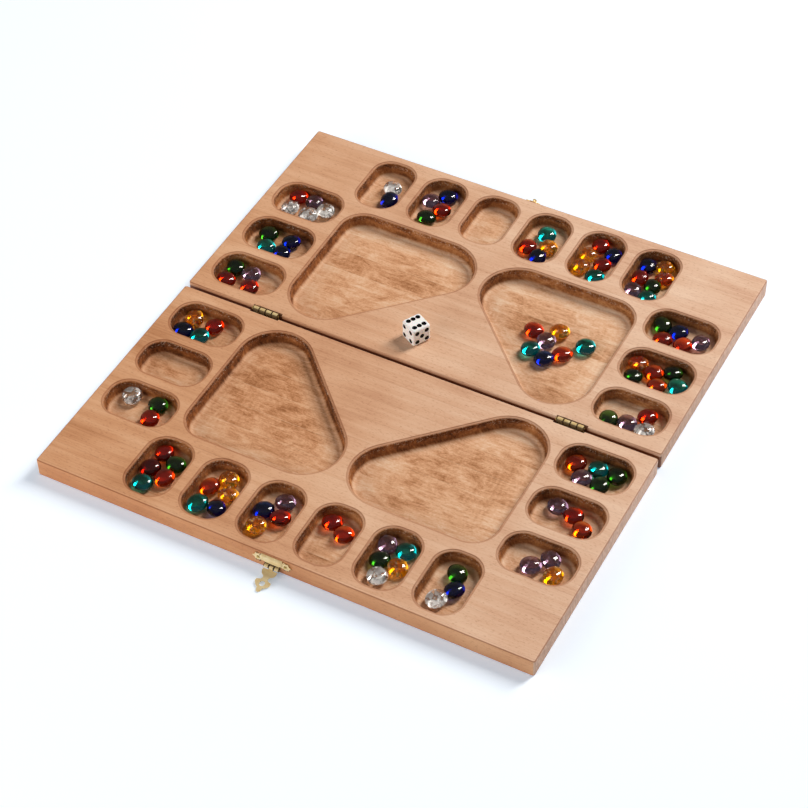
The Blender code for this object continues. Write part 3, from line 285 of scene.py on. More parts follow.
def make_routed_wood():
    """The same wood where a router cut it: the cutter burnished and scorched the walls brown, drawn darker
    still as painted shade, with painted glints in pale flecks near their top, and left blotches and faint
    passes on the floor, which has painted light close to the wall. The rims carry painted shade, more in
    some places than in others."""
    material, tree = start_material("routed_rubberwood")
    wood = hardwood(tree)
    depth = weigh(tree, (wood["z"], -1 / POCKET_DEPTH), BOARD_TOP / POCKET_DEPTH)
    reach = add_node(tree, "Attribute", attribute_name="cutter_pass").outputs["Fac"]
    blotch = mottle(tree, wood["moved"], (24, 11, 11), detail=6.0, roughness=0.66, distortion=1.0)
    speck = mottle(tree, wood["place"], (1.9, 1.3, 2.4), detail=2.0, roughness=0.7)
    stroke = mottle(tree, wood["moved"], (16, 1.6, 6), detail=4.0, roughness=0.7)
    phase = weigh(tree, (reach, 2 * math.pi / PASS_WIDTH), (blotch, 14.0))
    wave = add_node(tree, "Math", {0: phase}, operation="SINE")
    patch = weigh(tree, (blotch, 0.40), (speck, 0.18), (stroke, 0.22), (wave, 0.010), (wood["cloud"], 0.18),
                  (wood["chance"], 0.07), -0.032)
    # Painted light: the floor is drawn paler close to the wall, most of a small pit's floor, where shade
    # falls
    painted_lift = add_node(tree, "MapRange", {
        0: reach, 1: FLOOR_LIFT[0], 2: FLOOR_LIFT[1], 3: 0.05, 4: 0.005}, **SMOOTH)
    floor = add_node(tree, "ValToRGB", {0: weigh(tree, (patch, 1.0), (painted_lift, 1.0))}, [
        (0.38, "9C6A44"), (0.46, "C6936C"), (0.53, "DEB08C"), (0.62, "EBCAAC"), (0.70, "F4DEC6")])
    # Scorched brown, and partly painted shade: the walls are drawn darker than their lit colour
    wall = add_node(tree, "ValToRGB", {0: patch}, [
        (0.38, "4A2A16"), (0.46, "7C4C2A"), (0.54, "A66E42"), (0.64, "CA9868")])
    low = add_node(tree, "MapRange", {0: depth, 1: 0.79, 2: 0.98}, **SMOOTH)
    cut = add_node(tree, "Mix", {0: low, 1: wall, 2: floor}, **OVER)
    # Painted sheen: the cut wood is drawn warmer away from the key lamp's side, along the same way
    warmth = weigh(tree, (wood["side"], -0.6), 0.6)
    cut = add_node(tree, "Mix", {0: warmth, 1: cut, 2: linear("F0D8C0")}, **TIMES)
    # Painted glints: pale flecks on the upper walls, drawn as the light that rough grain catches
    painted_glint = mottle(tree, wood["place"], (1.7, 1.7, 1.1), detail=2.0, roughness=0.8)
    painted_glint = add_node(tree, "MapRange", {0: painted_glint, 1: 0.56, 2: 0.64, 4: 0.5}, **SMOOTH)
    high = add_node(tree, "MapRange", {0: depth, 1: 0.60, 2: 0.30}, **SMOOTH)
    painted_glint = add_node(tree, "Math", {0: painted_glint, 1: high}, operation="MULTIPLY")
    cut = add_node(tree, "Mix", {0: painted_glint, 1: cut, 2: linear("F2DCC6")}, **OVER)
    # Painted shade: the dark wall colour starts just below the rim, as a shaded line inside it
    rim = add_node(tree, "MapRange", {0: depth, 1: 0.035, 2: 0.12}, **SMOOTH)
    turned = add_node(tree, "Mix", {0: 0.45, 1: wood["colour"], 2: linear("B98C6A")}, **TIMES)
    cut = add_node(tree, "Mix", {0: rim, 1: turned, 2: cut}, **OVER)
    seam = add_node(tree, "Math", {0: wood["joint"], 1: weigh(tree, (low, 0.16))}, operation="MULTIPLY")
    cut = add_node(tree, "Mix", {0: seam, 1: cut, 2: linear("F2D8B8")}, **OVER)
    # Painted shade, in patches: the rims' step and the end of their round are drawn darker brown
    patchy_shade = mottle(tree, wood["place"], (16, 16, 16))
    patchy_shade = add_node(tree, "MapRange", {0: patchy_shade, 1: 0.40, 2: 0.58, 3: 0.18, 4: 0.70}, **SMOOTH)
    worn = add_node(tree, "Math", {0: wood["eased"], 1: patchy_shade}, operation="MULTIPLY")
    cut = add_node(tree, "Mix", {0: worn, 1: cut, 2: linear("8E603C")}, **TIMES)
    relief = weigh(tree, (speck, 0.8), (wave, 0.12), (wood["fibre"], 0.6))
    lacquer(tree, cut, relief, 0.4, 0.62, 0.2)
    return material


def knuckle_shade(tree, parts, middle, first, pitch):
    """1 at the joints between knuckles, which lie first, first + pitch and so on from the middle along X."""
    across = weigh(tree, (parts.outputs["X"], 1.0), -middle)
    across = add_node(tree, "Math", {0: across}, operation="ABSOLUTE")
    away = weigh(tree, (across, 1.0), -first)
    away = add_node(tree, "Math", {0: away, 1: pitch / 2}, operation="PINGPONG")
    return add_node(tree, "MapRange", {0: away, 1: JOINT_SHADE[0], 2: JOINT_SHADE[1]}, **SMOOTH)


def hinge_shade(tree, parts):
    """Painted shade between the knuckles and down the barrel's sides: only its crown is left bright."""
    joints = knuckle_shade(tree, parts, 0.0, HINGE_PLACE, HINGE_KNUCKLE)
    aside = weigh(tree, (parts.outputs["Y"], 1.0), -FOLD.y)
    aside = add_node(tree, "Math", {0: aside}, operation="ABSOLUTE")
    sides = add_node(tree, "MapRange", {0: aside, 1: HINGE_SIDE[0], 2: HINGE_SIDE[1], 4: 0.85}, **SMOOTH)
    return add_node(tree, "Math", {0: joints, 1: sides}, operation="MAXIMUM")


def hasp_shade(tree, parts):
    """Painted shade between the barrel's knuckles, and a painted shadow where the plate turns in above the
    barrel.
    """
    joints = knuckle_shade(tree, parts, HASP.x, HASP_KNUCKLE / 2, HASP_KNUCKLE)
    barrel = add_node(tree, "MapRange", {
        0: parts.outputs["Y"], 1: HASP.y - HASP_BACK[0], 2: HASP.y - HASP_BACK[1]})
    joints = add_node(tree, "Math", {0: joints, 1: barrel}, operation="MULTIPLY")
    above = weigh(tree, (parts.outputs["Z"], 1.0), -HASP.z)
    low = add_node(tree, "MapRange", {0: above, 1: HASP_TOP[0], 2: HASP_TOP[1]})
    joints = add_node(tree, "Math", {0: joints, 1: low}, operation="MULTIPLY")
    start = add_node(tree, "MapRange", {0: above, 1: HASP_TOP[1], 2: HASP_TOP[0]})
    stop = add_node(tree, "MapRange", {0: above, 1: HASP_TURN[0], 2: HASP_TURN[1]})
    turn = add_node(tree, "Math", {0: start, 1: stop}, operation="MULTIPLY")
    return add_node(tree, "Math", {0: joints, 1: turn}, operation="MAXIMUM")


def make_metal(name, low, high, rough, cloud_size, painted_shade=None, mirror=0.6):
    """Tumbled, plated and lacquered metal: a faint cloudiness in its colour and polish, and painted shade in
    its joints where it has any. mirror is how far its lustre shows through the lacquer."""
    material, tree = start_material(name)
    place = add_node(tree, "TexCoord").outputs["Object"]
    cloud = mottle(tree, place, (cloud_size,) * 3, detail=4.0)
    colour = add_node(tree, "ValToRGB", {0: cloud}, [(0.3, low), (0.7, high)])
    if painted_shade:
        # Painted shade: the joints and, on the hinges, the barrel's sides are drawn deep brown
        dark = painted_shade(tree, add_node(tree, "SeparateXYZ", {0: place}))
        colour = add_node(tree, "Mix", {0: dark, 1: colour, 2: linear("3A2412")}, **TIMES)
    polish = weigh(tree, (cloud, 0.2), rough)
    shader = add_node(tree, "BsdfPrincipled", {
        "Metallic": mirror, "Base Color": colour, "Roughness": polish})
    add_node(tree, "OutputMaterial", {"Surface": shader})
    return material


# Glass of each colour: how much red, green and blue passes through GLASS_DEPTH of it
GLASS_DEPTH = 10.0 * MM
GLASS_IOR = 1.6
GLASS_TINTS = {
    "red": (0.78, 0.11, 0.012), "darkred": (0.34, 0.035, 0.012), "redorange": (0.86, 0.22, 0.012),
    "orangered": (0.82, 0.16, 0.012), "orange": (0.97, 0.48, 0.012), "amber": (0.998, 0.64, 0.012),
    "green": (0.07, 0.22, 0.040), "teal": (0.02, 0.58, 0.60), "blue": (0.010, 0.05, 0.34),
    "violet": (0.56, 0.44, 0.54), "clear": (0.98, 0.975, 0.965),
}

# Milky flecks in the palest glass, painted as its glints and glow: their colour, and how clear the glass
# stays there. Their pattern loses GLINT_FADE for each metre up and nothing at GLINT_HEIGHT, so that most
# flecks lie low in a stone, where the glow of light through it gathers.
GLASS_GLINTS = {
    "clear": ("FFFFFF", 0.15), "violet": ("E8D8F0", 0.90),
    "amber": ("FFC838", 0.50), "orange": ("FF8A18", 0.55),
}
GLINT_HEIGHT = 9.0 * MM
GLINT_FADE = 20.0


def make_glass(name, passed):
    """Pressed crystal glass, fire-polished to a bright skin: dark where it is thick, and brighter and of a
    warmer or paler hue where light takes a short way through it."""
    material, tree = start_material("glass_" + name)
    place = add_node(tree, "TexCoord").outputs["Object"]
    ripple = mottle(tree, place, (6, 6, 6), detail=1.0)
    bump = add_node(tree, "Bump", {"Strength": 0.12, "Distance": 0.5 * MM, "Height": ripple})
    skin, clearness = linear("FFFFFF"), 1.0
    # Painted glints and glow: milky flecks of white or warm colour, mostly low in the stone
    if name in GLASS_GLINTS:
        tint, clarity = GLASS_GLINTS[name]
        height = add_node(tree, "SeparateXYZ", {0: place}).outputs["Z"]
        glint = weigh(tree, (mottle(tree, place, (3.4, 3.4, 3.4)), 1.0), (height, -GLINT_FADE),
                      GLINT_FADE * GLINT_HEIGHT)
        glint = add_node(tree, "MapRange", {0: glint, 1: 0.48, 2: 0.60}, **SMOOTH)
        skin = add_node(tree, "Mix", {0: glint, 1: skin, 2: linear(tint)}, **OVER)
        clearness = weigh(tree, (glint, clarity - 1.0), 1.0)
    shader = add_node(tree, "BsdfPrincipled", {
        "Base Color": skin, "Normal": bump, "IOR": GLASS_IOR, "Roughness": 0.01,
        "Transmission Weight": clearness})
    loss = -np.log(passed) / GLASS_DEPTH
    body = add_node(tree, "VolumeAbsorption", {
        "Color": (*(1 - loss / loss.max()), 1.0), "Density": loss.max()})
    add_node(tree, "OutputMaterial", {"Surface": shader, "Volume": body})
    return material


def make_die_plastic():
    """Cast acrylic, tumbled smooth: white, with its pips filled with black enamel."""
    material, tree = start_material("die_acrylic")
    away = add_node(tree, "Attribute", attribute_name="pip_distance").outputs["Fac"]
    pip = add_node(tree, "MapRange", {0: away, 1: 1.02, 2: 0.96}, **SMOOTH)
    place = add_node(tree, "TexCoord").outputs["Object"]
    cloud = mottle(tree, place, (6, 6, 6), detail=2.0)
    white = add_node(tree, "ValToRGB", {0: cloud}, [(0.3, "F8F8F8"), (0.7, "FDFDFD")])
    colour = add_node(tree, "Mix", {0: pip, 1: white, 2: linear("08080A")}, **OVER)
    shader = add_node(tree, "BsdfPrincipled", {
        "Base Color": colour, "Roughness": 0.2, "Specular IOR Level": weigh(tree, (pip, -0.4), 0.5),
        "Subsurface Weight": 0.1, "Subsurface Scale": 1.0 * MM})
    add_node(tree, "OutputMaterial", {"Surface": shader})
    return material


# The sweep's own glow, which the camera sees and metal and glass mirror, but which lights nothing
FLOOR_GLOW = 0.30


def make_floor_paper():
    """A matt white sweep of paper: it keeps the object's shadow, a little cool, and else reads as white."""
    material, tree = start_material("white_sweep")
    paper = add_node(tree, "BsdfDiffuse", {"Color": linear("EAF2FA")})
    glow = add_node(tree, "Emission", {"Color": linear("D0E6FF"), "Strength": FLOOR_GLOW})
    path = add_node(tree, "LightPath")
    ways = ("Is Camera Ray", "Is Glossy Ray", "Is Transmission Ray")
    seen = weigh(tree, *((path.outputs[way], 1.0) for way in ways))
    lit = add_node(tree, "AddShader", {0: paper, 1: glow})
    both = add_node(tree, "MixShader", {0: seen, 1: paper, 2: lit})
    add_node(tree, "OutputMaterial", {"Surface": both})
    return material


PLANED = make_planed_wood()
ROUTED = make_routed_wood()

# Stamped brass, satin and a little cloudy: the catch, then the paler hinges and hasp, with painted shade in
# their joints
BRASS = make_metal("plated_brass", "ECC47A", "FADFA0", 0.30, 4)
HINGE_BRASS = make_metal("hinge_brass", "F0CC84", "FEEAB4", 0.24, 4, hinge_shade, mirror=0.4)
HASP_BRASS = make_metal("hasp_brass", "F2D498", "FEECBE", 0.26, 4, hasp_shade, mirror=0.35)

# Screws, nails and pins of drawn steel, brassed: deeper in colour and with a harder gleam
BRASSED = make_metal("brassed_steel", "D2AC5C", "F0D48C", 0.20, 2)
GLASS = {name: make_glass(name, passed) for name, passed in GLASS_TINTS.items()}
ACRYLIC = make_die_plastic()


# Surfaces

def grid_faces(rows, columns, start=0):
    """Quads between neighbouring rings of points; each ring closes on itself."""
    i = np.arange(rows - 1)[:, None]
    j = np.arange(columns)[None, :]
    k = (j + 1) % columns
    corners = (i * columns + j, i * columns + k, (i + 1) * columns + k, (i + 1) * columns + j)
    return np.stack(np.broadcast_arrays(*corners), -1).reshape(-1, 4) + start


def distances(places, others):
    """Distances in X and Y from each place to each of the others, as a table."""
    return np.hypot(*(places[:, None, :2] - others[None, :, :2]).transpose(2, 0, 1))


def link_object(name, data):
    """A new object in the scene, at the origin."""
    thing = bpy.data.objects.new(name, data)
    bpy.context.scene.collection.objects.link(thing)
    return thing


def dress_piece(node, finish, mesh, materials, body):
    """Links a finished mesh as a piece of the object, in place of the CAD node that it dresses."""
    mesh.validate()
    for material in materials:
        mesh.materials.append(material)
    piece = link_object(f"{node}_{finish}", mesh)
    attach(piece, body)
    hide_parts(node)


def give_attribute(mesh, name, values):
    """One number for each of the mesh's points, for a material to read."""
    mesh.attributes.new(name, "FLOAT", "POINT").data.foreach_set("value", values)


# Boards

def rounded_ring(corners, radii, inset, steps):
    """Points round a polygon with rounded corners, drawn in by inset.

    Each corner is an arc about a centre that stays put; its radius is the corner's own less the inset.
    """
    corners = np.array(corners, float)
    back = np.roll(corners, 1, axis=0) - corners
    ahead = np.roll(corners, -1, axis=0) - corners
    back /= np.linalg.norm(back, axis=1, keepdims=True)
    ahead /= np.linalg.norm(ahead, axis=1, keepdims=True)
    half = np.arccos(np.clip((back * ahead).sum(1), -1, 1)) / 2
    middle = back + ahead
    middle /= np.linalg.norm(middle, axis=1, keepdims=True)
    radii = np.array(radii, float)
    centres = corners + middle * (radii / np.sin(half))[:, None]
    first = corners + back * (radii / np.tan(half))[:, None] - centres
    last = corners + ahead * (radii / np.tan(half))[:, None] - centres
    start = np.arctan2(first[:, 1], first[:, 0])
    sweep = (np.arctan2(last[:, 1], last[:, 0]) - start + math.pi) % (2 * math.pi) - math.pi
    angle = start[:, None] + sweep[:, None] * np.linspace(0, 1, steps + 1)[None, :]
    arc = np.stack((np.cos(angle), np.sin(angle)), -1) * (radii - inset)[:, None, None]
    return (centres[:, None, :] + arc).reshape(-1, 2)


def pocket_profile():
    """Section of a pocket from the rim down, as (inset, depth), and 1 for each point where the rim gets
    painted shade.

    A small step and a quarter of an ellipse at the rim, a drafted wall, and a quarter-round cove.
    """
    turn = np.linspace(0, math.pi / 2, RIM_STEPS)[1:]
    eased = RIM[-1] + np.stack((RIM_ROUND[0] * np.sin(turn), RIM_ROUND[1] * (1 - np.cos(turn))), -1)
    turn = np.linspace(0, math.pi / 2, COVE_STEPS)
    foot = np.array([WALL_FOOT, POCKET_DEPTH - COVE])
    cove = foot + COVE * np.stack((1 - np.cos(turn), np.sin(turn)), -1)
    points = np.vstack(([(-SUPPORT, 0.0)], RIM, eased, cove))
    step_corner, round_end = 2, len(RIM) + len(eased)
    worn = np.zeros(len(points))
    worn[[step_corner, round_end]] = 1.0
    return points, worn


def stack_rings(corners, radii, profile, steps):
    """A rounded outline drawn once for each (inset, depth) of a profile, at that depth below the top."""
    return np.array([np.insert(rounded_ring(corners, radii, inset, steps), 2, BOARD_TOP - depth, axis=1)
                     for inset, depth in profile])


def pocket_wall(corners, radii):
    """Rings down the wall, then rings that shrink across the floor towards its middle, with each ring's way
    from the rim along the section, and 1 where it gets painted shade."""
    profile, worn = pocket_profile()
    wall = stack_rings(corners, radii, profile, CORNER_STEPS)
    run = np.r_[0, np.cumsum(np.hypot(*np.diff(profile, axis=0).T))]
    edge = wall[-1]
    middle = edge.mean(0)
    shares = np.linspace(1, 0, FLOOR_RINGS + 2)[1:-1]
    floor = middle + (edge - middle) * shares[:, None, None]
    inner = np.hypot(*(edge - middle)[:, :2].T).mean()
    passes = np.r_[run, run[-1] + (1 - shares) * inner]
    return np.concatenate((wall, floor)), passes, np.r_[worn, np.zeros(len(floor))]


def slab_wall(name):
    """Rings round a half's outside, from its upper face over the eased edges to its underside, with 0 for
    the cutter's way, and 1 where a ring lies in the middle of an edge's round and gets painted shade."""
    low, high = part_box(name)
    box = [(low.x, low.y), (high.x, low.y), (high.x, high.y), (low.x, high.y)]
    angle = np.linspace(0, math.pi / 2, EDGE_STEPS)
    ease = np.stack((EDGE_EASE * (1 - np.sin(angle)), EDGE_EASE * (1 - np.cos(angle))), -1)
    edge = [(EDGE_EASE + SUPPORT, 0.0), *ease, (0.0, EDGE_EASE + SUPPORT)]
    profile = edge + [(inset, BOARD_TOP - depth) for inset, depth in reversed(edge)]
    worn = np.zeros(len(edge))
    round_middle = slice(2, -3)
    worn[round_middle] = 1.0
    corner = (EDGE_EASE + 2 * SUPPORT,) * 4
    rings = stack_rings(box, corner, profile, SLAB_CORNER_STEPS)
    return rings, np.zeros(len(rings)), np.r_[worn, worn[::-1]]


def half_pockets(end):
    """Outline corners and radii of every pocket of one half; end is -1 front or 1 rear."""
    pockets = []
    column = BOARD_HALF_WIDTH - COLUMN_TO_EDGE
    row = HALF_REACH - ROW_TO_EDGE
    for side in (-1, 1):
        spots = [(side * column, COLUMN_FIRST + k * PIT_PITCH, PIT_LENGTH, PIT_WIDTH) for k in range(3)]
        spots += [(side * (ROW_FIRST + k * PIT_PITCH), row, PIT_WIDTH, PIT_LENGTH) for k in range(3)]
        for x, away, length, width in spots:
            y = FOLD.y + end * away
            box = [(x - length / 2, y - width / 2), (x + length / 2, y - width / 2),
                   (x + length / 2, y + width / 2), (x - length / 2, y + width / 2)]
            pockets.append((box, (PIT_CORNER,) * 4))
        store = [(side * STORE_SIDE, FOLD.y + end * STORE_FAR),
                 (side * (STORE_SLANT - STORE_FAR), FOLD.y + end * STORE_FAR),
                 (side * STORE_SIDE, FOLD.y + end * (STORE_SLANT - STORE_SIDE))]
        pockets.append((store, STORE_CORNERS))
    return pockets


def make_half(name, body, end):
    """One half of the board: an eased slab whose upper face is filled round the pockets' rims."""
    stacks, passes, worn = zip(slab_wall(name), *(pocket_wall(*outline) for outline in half_pockets(end)))
    faces, marks, rims, floors = [], [], [], []
    total = 0
    for k, rings in enumerate(stacks):
        rows, columns = rings.shape[:2]
        faces.append(grid_faces(rows, columns, total))
        marks.append(np.full(len(faces[-1]), min(k, 1)))
        rims.append(np.arange(columns) + total)
        floors.append(rims[-1] + (rows - 1) * columns)
        total += rows * columns
    points = np.vstack([rings.reshape(-1, 3) for rings in stacks])
    around = [rings.shape[1] for rings in stacks]
    mesh = bpy.data.meshes.new(name + "_routed")
    mesh.from_pydata(points.tolist(), [], np.vstack(faces).tolist())
    mesh.polygons.foreach_set("material_index", np.concatenate(marks))
    give_attribute(mesh, "cutter_pass", np.concatenate([*map(np.repeat, passes, around)]))
    # The eased mark is where painted shade darkens the rims and the edges
    give_attribute(mesh, "eased", np.concatenate([*map(np.repeat, worn, around)]))
    close_half(mesh, rims, floors)
    mesh.materials.append(PLANED)
    mesh.materials.append(ROUTED)
    finished = cut_reliefs(mesh, name, end)
    finished.shade_smooth()
    finished.set_sharp_from_angle(angle=WOOD_SHARP)
    dress_piece(name, "routed", finished, (), body)


def close_half(mesh, rims, floors):
    """Fills the upper face between the slab's first ring and the pockets' rims, and caps the underside and
    every floor."""
    work = bmesh.new()
    work.from_mesh(mesh)
    work.verts.ensure_lookup_table()
    edges = [work.edges.get((work.verts[a], work.verts[b]))
             for rim in rims for a, b in zip(rim, np.roll(rim, -1))]
    bmesh.ops.triangle_fill(work, use_beauty=True, edges=edges)
    for k, ring in enumerate(floors):
        face = work.faces.new([work.verts[i] for i in ring])
        face.material_index = min(k, 1)
    bmesh.ops.recalc_face_normals(work, faces=work.faces)
    work.to_mesh(mesh)
    work.free()


def cut_reliefs(mesh, name, end):
    """A copy of a half's mesh with the reliefs for its two hinge barrels cut out of its upper edge."""
    blank = link_object(name + "_blank", mesh)
    blocks = [relief_block(side, end) for side in (-1, 1)]
    for block in blocks:
        cut = blank.modifiers.new("relief", "BOOLEAN")
        cut.operation = "DIFFERENCE"
        cut.solver = "EXACT"
        cut.object = block
    bpy.context.view_layer.update()
    finished = bpy.data.meshes.new_from_object(blank.evaluated_get(bpy.context.evaluated_depsgraph_get()))
    for thing in (blank, *blocks):
        bpy.data.objects.remove(thing, do_unlink=True)
    return finished


def relief_block(side, end):
    """What a hinge barrel's relief takes out of the wood, drawn a little past its two open sides."""
    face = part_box("rear_half")[0].y if end > 0 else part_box("front_half")[1].y
    depths = sorted((face + end * NOTCH_DEPTH, face - end * NOTCH_SLACK))
    low = Vector((side * HINGE_PLACE - NOTCH_REACH, depths[0], BOARD_TOP - NOTCH_HEIGHT))
    high = Vector((side * HINGE_PLACE + NOTCH_REACH, depths[1], BOARD_TOP + NOTCH_SLACK))
    work = bmesh.new()
    bmesh.ops.create_cube(work, size=1.0)
    fit = Matrix.Translation((low + high) / 2) @ Matrix.Diagonal((*(high - low), 1.0))
    bmesh.ops.transform(work, matrix=fit, verts=work.verts)
    mesh = bpy.data.meshes.new("hinge_relief")
    work.to_mesh(mesh)
    work.free()
    block = link_object("hinge_relief", mesh)
    block.hide_render = True
    return block


# Glass stones: the colours in each handful, from the rearmost stone to the foremost
STONE_COLOURS = {
    "stones_front_left_1": "amber red blue teal",
    "stones_front_left_3": "green red",
    "stones_front_left_3_lone": "clear",
    "stones_front_right_1": "green teal redorange violet green",
    "stones_front_right_2": "violet red redorange",
    "stones_front_right_3": "violet violet amber",
    "stones_front_row_left_1": "violet blue red amber",
    "stones_front_row_left_2": "amber redorange amber blue teal",
    "stones_front_row_left_3": "red green darkred orangered teal",
    "stones_front_row_right_1": "red orangered",
    "stones_front_row_right_2": "teal violet green amber clear",
    "stones_front_row_right_3": "green blue clear",
    "stones_rear_left_1": "green violet red red",
    "stones_rear_left_2": "green blue teal blue",
    "stones_rear_left_3": "violet red clear clear clear",
    "stones_rear_right_1": "red violet clear green",
    "stones_rear_right_2": "green orange orangered teal green redorange",
    "stones_rear_right_3": "green blue violet red orangered",
    "stones_rear_row_left_2": "blue violet red green",
    "stones_rear_row_left_3": "clear blue",
    "stones_rear_row_right_1": "teal amber red blue",
    "stones_rear_row_right_2": "red blue amber red amber teal",
    "stones_rear_row_right_3": "amber blue orange red green violet teal",
    "stones_rear_store": "amber red violet orangered teal blue",
    "stones_rear_store_lone": "teal",
}
STONE_RADIUS = 8.9 * MM
STONE_LEAST_RADIUS = 8.0 * MM
STONE_HEIGHT = 9.4 * MM
STONE_BELLY = 4.3 * MM
STONE_CROWN = STONE_HEIGHT / 20
STONE_APART = 8.0 * MM
STONE_OVERLAP = 0.4 * MM
STONE_LOWER_POWER = 0.75
STONE_UPPER_POWER = 0.80
STONE_SWELL = (0.02, 0.08)
STONE_LEAN = math.radians(10.0)
STONE_RINGS = 13
STONE_SIDES = 28


def stone_places(node):
    """Feet of the stones in a CAD node, under its crowns, from the rearmost to the foremost."""
    mesh = frame["nodes"][node].data
    points = np.zeros(len(mesh.vertices) * 3, np.float32)
    mesh.vertices.foreach_get("co", points)
    points = points.reshape(-1, 3)
    tops = points[points[:, 2] > points[:, 2].max() - STONE_CROWN]
    tops = tops[np.lexsort((tops[:, 0], -tops[:, 1]))]
    same = distances(tops, tops) < STONE_APART
    first = np.array([not same[i, :i].any() for i in range(len(tops))])
    feet = tops[first].astype(float)
    feet[:, 2] = points[:, 2].min()
    return feet


def stone_points(foot, radius, chance):
    """A glass nugget: rings of radius r(t) at height z(t) for t from the foot to the crown.

    r is a power of cos t, fuller below the belly than above it; z follows sin t from the foot to the belly
    and on to the crown. The outline swells by a few per cent along one direction, and the stone is tilted
    a little and stands on its lowest point.
    """
    t = np.linspace(-math.pi / 2, math.pi / 2, STONE_RINGS)[1:-1]
    spread = np.cos(t) ** np.where(t < 0, STONE_LOWER_POWER, STONE_UPPER_POWER)
    rise = np.where(t < 0, STONE_BELLY, STONE_HEIGHT - STONE_BELLY) * np.sin(t) + STONE_BELLY
    turn = np.linspace(0, 2 * math.pi, STONE_SIDES, endpoint=False)
    swell = 1 + chance.uniform(*STONE_SWELL) * np.cos(2 * (turn - chance.uniform(0, math.pi)))
    x = radius * spread[:, None] * (swell * np.cos(turn))[None, :]
    y = radius * spread[:, None] * (swell * np.sin(turn))[None, :]
    z = np.broadcast_to(rise[:, None], x.shape)
    points = np.vstack((np.stack((x, y, z), -1).reshape(-1, 3), (0, 0, 0), (0, 0, STONE_HEIGHT)))
    lean = chance.uniform(0, STONE_LEAN)
    way = chance.uniform(0, 2 * math.pi)
    tilt = np.array(Matrix.Rotation(lean, 3, Vector((math.cos(way), math.sin(way), 0))))
    points = (points - (0, 0, STONE_BELLY)) @ tilt.T
    points[:, 2] -= points[:, 2].min()
    return points + foot


def stone_faces():
    """Quads between the rings, and a fan at the foot and at the crown."""
    rings = STONE_RINGS - 2
    around = np.arange(STONE_SIDES)
    after = (around + 1) % STONE_SIDES
    foot, crown = rings * STONE_SIDES, rings * STONE_SIDES + 1
    last = (rings - 1) * STONE_SIDES
    quads = grid_faces(rings, STONE_SIDES).tolist()
    lower = np.stack((after, around, np.full_like(around, foot)), -1).tolist()
    upper = np.stack((around + last, after + last, np.full_like(around, crown)), -1).tolist()
    return quads + lower + upper


def make_stones(node, colours):
    """The stones of one CAD node, each in its own glass and as wide as its nearest neighbour lets it be.

    Their small differences are drawn by chance, seeded by the node's name.
    """
    feet = stone_places(node)
    colours = colours.split()
    if len(feet) != len(colours):
        raise ValueError(f"{node} has {len(feet)} stones and {len(colours)} colours")
    chance = np.random.default_rng(sum(map(ord, node)))
    to_itself = np.eye(len(feet))
    gaps = distances(feet, feet) + to_itself
    radii = np.clip(gaps.min(1) / 2 + STONE_OVERLAP, STONE_LEAST_RADIUS, STONE_RADIUS)
    one = stone_faces()
    glasses = sorted(set(colours))
    points, faces, marks = [], [], []
    for k, (foot, radius, colour) in enumerate(zip(feet, radii, colours)):
        shape = stone_points(foot, radius, chance)
        faces += [[i + k * len(shape) for i in face] for face in one]
        points.append(shape)
        marks += [glasses.index(colour)] * len(one)
    mesh = bpy.data.meshes.new(node + "_glass")
    mesh.from_pydata(np.vstack(points).tolist(), [], faces)
    mesh.polygons.foreach_set("material_index", marks)
    mesh.shade_smooth()
    dress_piece(node, "glass", mesh, [GLASS[name] for name in glasses], node)


# Die, as large as the photo shows it and where it shows it
DIE_SIZE = 17.8 * MM
DIE_SHIFT = Vector((0.6 * MM, -1.2 * MM, 0.0))
DIE_ROUND = 2.2 * MM
DIE_TURN = math.radians(-29.0)
PIP_RADIUS = 2.2 * MM
PIP_DEPTH = 0.5 * MM
PIP_SPREAD = 4.7 * MM
DIE_STEPS = 40
DIE_GRID_TURN = math.pi / 4.6
PIP_SPOTS = {
    1: [(0, 0)],
    2: [(-1, -1), (1, 1)],
    3: [(-1, -1), (0, 0), (1, 1)],
    4: [(-1, -1), (-1, 1), (1, -1), (1, 1)],
    5: [(-1, -1), (-1, 1), (0, 0), (1, -1), (1, 1)],
    6: [(-1, -1), (-1, 0), (-1, 1), (1, -1), (1, 0), (1, 1)],
}


def die_face(count):
    """One face on a grid of (u, v), whose lines stand like tan of equal steps from -DIE_GRID_TURN up.

    The cube's point is pulled back to an inner box and pushed out by the corner radius along the way it
    came, then the pips are pressed in as bowls: PIP_DEPTH times the root of 1 - d squared, where d is the
    distance from a pip's middle over its radius.
    """
    half = DIE_SIZE / 2
    line = np.tan(np.linspace(-1, 1, DIE_STEPS + 1) * DIE_GRID_TURN) / math.tan(DIE_GRID_TURN) * half
    u, v = np.meshgrid(line, line, indexing="ij")
    cube = np.stack((u, v, np.full_like(u, half)), -1).reshape(-1, 3)
    core = np.clip(cube, -(half - DIE_ROUND), half - DIE_ROUND)
    away = cube - core
    away /= np.linalg.norm(away, axis=1, keepdims=True)
    points = core + away * DIE_ROUND
    spots = np.array(PIP_SPOTS[count]) * PIP_SPREAD
    distance = distances(points, spots).min(1) / PIP_RADIUS
    points[:, 2] -= PIP_DEPTH * np.sqrt(np.clip(1 - distance ** 2, 0, 1))
    i, j = np.meshgrid(np.arange(DIE_STEPS), np.arange(DIE_STEPS), indexing="ij")
    low = (i * (DIE_STEPS + 1) + j).ravel()
    faces = np.stack((low, low + DIE_STEPS + 1, low + DIE_STEPS + 2, low + 1), -1)
    return points, faces, distance


